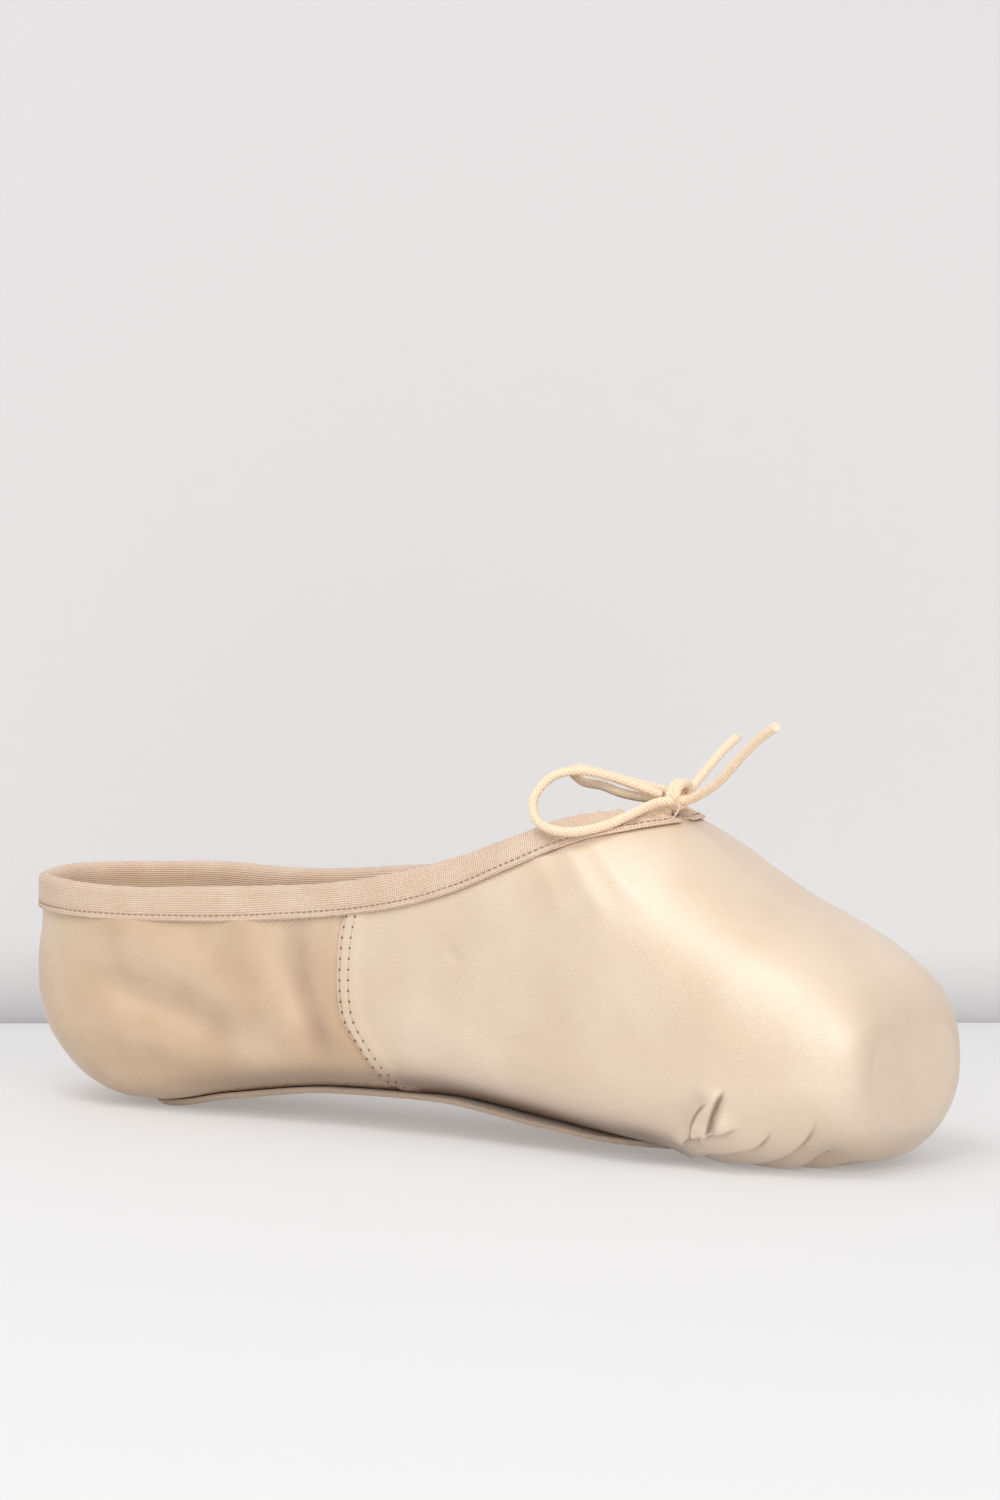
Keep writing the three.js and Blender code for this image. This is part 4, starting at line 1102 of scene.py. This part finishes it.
def leather_material():
    """Split leather: a brushed face with loose fibres, darker and rougher at the cut edge."""
    shader = Shader("sole_leather")
    _, _, where = shader.cloth()
    grain = shader.noise(where, 1.4, 5, 0.65)
    fibre = shader.noise(shader.drawn_out(where, (0.5, 2.4, 1)), 2.0, 4, 0.7)
    stain = shader.noise(where, 0.06, 4)
    base = shader.mix(shader.spread(stain, 0.3, 0.7), srgb(206, 182, 158), srgb(192, 166, 141))
    colour = shader.mix(shader.spread(fibre, 0.4, 0.7, 0, 0.4), base, srgb(210, 186, 162))
    edge = shader.shade()
    colour = shader.mix(shader.times(edge, 0.55), colour, srgb(186, 160, 138))
    loose = shader.math("MULTIPLY_ADD", edge, 1.5, 0.6)
    height = shader.plus(grain, shader.times(fibre, loose))
    return shader.surface(height, 0.25 * MM, 0.8, Base_Color=colour, Roughness=0.88, Sheen_Weight=0.3,
                          Specular_IOR_Level=0.25)


def burlap_material():
    """Coarse jute stiffened with paste, which fills its weave and shines a little."""
    shader = Shader("pasted_burlap")
    where = shader.place()
    parts = shader.node("SeparateXYZ", Vector=where)
    pitch = 1.7 * MM
    a = shader.wave(parts.outputs[0], pitch)
    b = shader.wave(shader.plus(parts.outputs[1], parts.outputs[2]), pitch)
    weave = shader.times(a, b)
    paste = shader.noise(where, 130, 4)
    colour = shader.mix(shader.spread(weave, -1, 0.6), srgb(120, 92, 56), srgb(186, 158, 112))
    colour = shader.mix(shader.spread(paste, 0.5, 0.7, 0, 0.4), colour, srgb(205, 188, 150))
    return shader.surface(shader.plus(weave, paste), 0.3 * MM, 0.8, Base_Color=colour,
                          Roughness=shader.spread(paste, 0.4, 0.7, 0.75, 0.45))


def board_material():
    """Red-brown fibreboard, flecked and slightly laminated."""
    shader = Shader("fibreboard")
    where = shader.place()
    fleck = shader.noise(where, 900, 4, 0.7)
    layer = shader.noise(shader.drawn_out(where, (60, 60, 1800)), 1.0, 2)
    colour = shader.mix(shader.spread(fleck, 0.35, 0.65), srgb(138, 104, 72), srgb(170, 136, 98))
    colour = shader.mix(shader.spread(layer, 0.45, 0.6, 0, 0.4), colour, srgb(116, 84, 56))
    return shader.surface(fleck, 0.12 * MM, 0.7, Base_Color=colour, Roughness=0.8)


def steel_material():
    """Bright nail wire, drawn and slightly scuffed."""
    shader = Shader("nail_steel")
    where = shader.place()
    scuff = shader.noise(where, 2500, 4, 0.6)
    rough = shader.spread(scuff, 0.3, 0.7, 0.25, 0.5)
    return shader.surface(scuff, 0.02 * MM, 0.5, Base_Color=srgb(190, 188, 182), Metallic=1.0,
                          Roughness=rough)


def thread_material(name, colour):
    """Twisted sewing thread."""
    shader = Shader(name)
    along, around, _ = shader.cloth()
    twist = shader.wave(shader.plus(along, around), 0.3)
    shade = shader.mix(shader.spread(twist, 0.2, -1, 0, 0.5), colour, srgb(120, 92, 70))
    return shader.surface(twist, 0.03 * MM, 0.7, Base_Color=shade, Roughness=0.6, Sheen_Weight=0.2)


def hole_shade_material():
    """Painted shade: the dark inside a needle hole."""
    shader = Shader("needle_hole")
    _, _, where = shader.cloth()
    colour = shader.mix(shader.noise(where, 3), srgb(112, 78, 52), srgb(150, 112, 80))
    return shader.surface(None, Base_Color=colour, Roughness=0.9, Specular_IOR_Level=0.1)


def finish_with(material, *pieces):
    for piece in pieces:
        piece.data.materials.clear()
        piece.data.materials.append(material)


SATIN_RIBBED = satin_material("satin_ribbed", -0.06, 0.55, 0.4, srgb(225, 201, 174), srgb(233, 212, 188))
# The quarters' twill is their bias-cut weave. Their darker, more saturated colours are painted shade for the
# way they face away from the light.
SATIN_TWILLED = satin_material("satin_twilled", 0.9, 0.85, 0.8, srgb(200, 165, 128), srgb(222, 193, 160))
CANVAS = canvas_material("binding_canvas", srgb(255, 236, 214), srgb(228, 176, 138), 1.0, bias=True)
DRILL = drill_material(srgb(236, 214, 184), srgb(190, 156, 118), 0.8)
TAPE = canvas_material("seam_tape", srgb(238, 214, 184), srgb(196, 160, 122), 0.6, bias=False)

finish_with(SATIN_RIBBED, vamp)
finish_with(SATIN_TWILLED, *quarters.values())
finish_with(CANVAS, binding)
finish_with(DRILL, vamp_lining, sock, *quarter_linings.values())
finish_with(TAPE, heel_tape)
finish_with(braid_material(), knot, cased, *free_cords)
finish_with(leather_material(), outsole)
finish_with(board_material(), insole, shank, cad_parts["half_shank"])
BURLAP_NODES = ("box_outer_layer", "box_inner_layer", "platform_disc")
finish_with(burlap_material(), *(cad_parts[node] for node in BURLAP_NODES))
finish_with(steel_material(), *(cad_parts[f"shank_nail_{i}"] for i in (1, 2, 3)))
finish_with(thread_material("binding_thread", srgb(206, 176, 152)), binding_stitching)
finish_with(thread_material("seam_thread", srgb(226, 198, 166)), seam_stitching)
finish_with(thread_material("stray_thread", srgb(244, 226, 204)), stray)
finish_with(hole_shade_material(), seam_holes)

# ---------------------------------------------------------------- The part each piece stands for, which is hidden, and the rear pieces, which move with the rearfoot

BENDING = [
    (vamp, "vamp_satin", "satin"),
    (vamp_lining, "vamp_lining", "drill_lining"),
    (binding, "top_binding", "binding_canvas"),
    (cased, "drawstring", "cotton_cord"),
    (outsole, "outsole", "sole_leather"),
    (insole, "insole_board", "fibreboard"),
    (shank, "shank_board", "fibreboard"),
    (sock, "sock_lining", "drill_lining"),
    *((sewing, None, None) for sewing in (binding_stitching, seam_stitching, seam_holes)),
]
REAR = [
    *((quarters[side], f"quarter_satin_{word}", "satin") for side, word in SIDES),
    *((quarter_linings[side], f"quarter_lining_{word}", "drill_lining") for side, word in SIDES),
    (heel_tape, "heel_seam_tape", "drill_lining"),
]
for piece, node, slot in BENDING + REAR:
    if node:
        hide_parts(node)
for piece, _, _ in BENDING:
    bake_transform(piece)
for piece, _, _ in REAR:
    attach(piece, "rearfoot")

# ---------------------------------------------------------------- Floor, wall and light

FLOOR_REACH = 3.0
WALL_SHADE_REACH = 0.12  # how far from the wall the floor is darker with painted shade
WALL_BEHIND = 0.18  # this far behind the shoe's middle
WALL_REACH, WALL_HEIGHT = 2, 2.0
toward_camera = Vector((math.sin(AZIMUTH), -math.cos(AZIMUTH), 0))
level_right = Vector((math.cos(AZIMUTH), math.sin(AZIMUTH), 0))
wall_foot = Vector(row(VIEW_CENTRE)) - WALL_BEHIND * toward_camera
wall_foot.z = 0


def flat_stage(name, corners, material):
    mesh = bpy.data.meshes.new(name)
    mesh.from_pydata([tuple(c) for c in corners], [], [(0, 1, 2, 3)])
    mesh.materials.append(material)
    board = bpy.data.objects.new(name, mesh)
    bpy.context.scene.collection.objects.link(board)


def floor_material():
    """Pale paper, with painted shade a little darker at the wall's foot and a faint painted glow that lifts
    its shadows.
    """
    shader = Shader("floor_paper")
    where = shader.place()
    parts = shader.node("SeparateXYZ", Vector=where)
    depth = shader.plus(shader.times(parts.outputs[0], toward_camera.x),
                        shader.times(parts.outputs[1], toward_camera.y))
    foot = wall_foot.dot(toward_camera)
    # painted shade: the floor is a little darker close to the wall's foot
    near = shader.spread(depth, foot, foot + WALL_SHADE_REACH)
    mottle = shader.spread(shader.noise(where, 9, 3), 0.3, 0.7, 0.985, 1.0)
    colour = shader.mix(near, srgb(190, 190, 191), srgb(195, 195, 196))
    colour = shader.mix(mottle, srgb(180, 180, 180), colour)
    # painted light: a faint white glow that lifts the shadows on the floor and lights the shoe a little from
    # below
    shader.surface(shader.noise(where, 1500, 2), 0.02 * MM, 0.3, Base_Color=colour, Roughness=0.75,
                   Specular_IOR_Level=0.2, Emission_Color=(1, 1, 1, 1), Emission_Strength=0.25)
    return shader.clear_from_behind()


def wall_material():
    """Grey paper with painted light and shade: darker towards its foot, and a little darker again higher up.
    """
    shader = Shader("wall_paper")
    where = shader.place()
    height = shader.node("SeparateXYZ", Vector=where).outputs[2]
    # painted shade in a narrow band at the wall's foot, and painted light that makes the wall brighter low
    # down than higher up
    dim = shader.math("POWER", shader.spread(height, 0.0, 0.02), 0.55)
    high = shader.mix(shader.spread(height, 0.02, 0.3), srgb(226, 225, 226), srgb(214, 212, 214))
    colour = shader.mix(dim, srgb(178, 178, 179), high)
    shader.surface(shader.noise(where, 1200, 2), 0.02 * MM, 0.3, Base_Color=colour, Roughness=0.85,
                   Specular_IOR_Level=0.1)
    return shader.clear_from_behind()


floor_corners = [(FLOOR_REACH * a, FLOOR_REACH * b, 0) for a, b in ((-1, -1), (1, -1), (1, 1), (-1, 1))]
flat_stage("floor", floor_corners, floor_material())
wall_corners = [wall_foot + WALL_REACH * a * level_right + Vector((0, 0, WALL_HEIGHT * b))
                for a, b in ((-1, 0), (1, 0), (1, 1), (-1, 1))]
flat_stage("wall", wall_corners, wall_material())


LIGHT_COLOUR = (1, 0.99, 0.975)


def softbox(name, place, target, size, power):
    data = bpy.data.lights.new(name, "AREA")
    data.shape = "RECTANGLE"
    data.size, data.size_y = size
    data.energy = power
    data.color = LIGHT_COLOUR
    lamp = bpy.data.objects.new(name, data)
    lamp.location = place
    lamp.rotation_euler = (Vector(target) - Vector(place)).to_track_quat("-Z", "Y").to_euler()
    bpy.context.scene.collection.objects.link(lamp)


# The main light stands where the photo's bright band on the vamp mirrors it.
softbox("overhead", (-0.06, -0.58, 1.12), (0.05, 0, 0.05), (0.9, 0.5), 5.8)
softbox("front_fill", Vector((0, 0, 0.85)) + 1.4 * toward_camera, (0, 0, 0.05), (1.6, 0.9), 8.5)
softbox("toe_side", (1.1, -0.6, 0.5), (0.05, 0, 0.03), (0.8, 0.8), 3)

world = bpy.data.worlds.new("studio")
world.use_nodes = True
background = world.node_tree.nodes["Background"]
background.inputs["Color"].default_value = (1, 0.995, 0.99, 1)
background.inputs["Strength"].default_value = 0.45
bpy.context.scene.world = world
bpy.context.scene.view_settings.view_transform = "Standard"
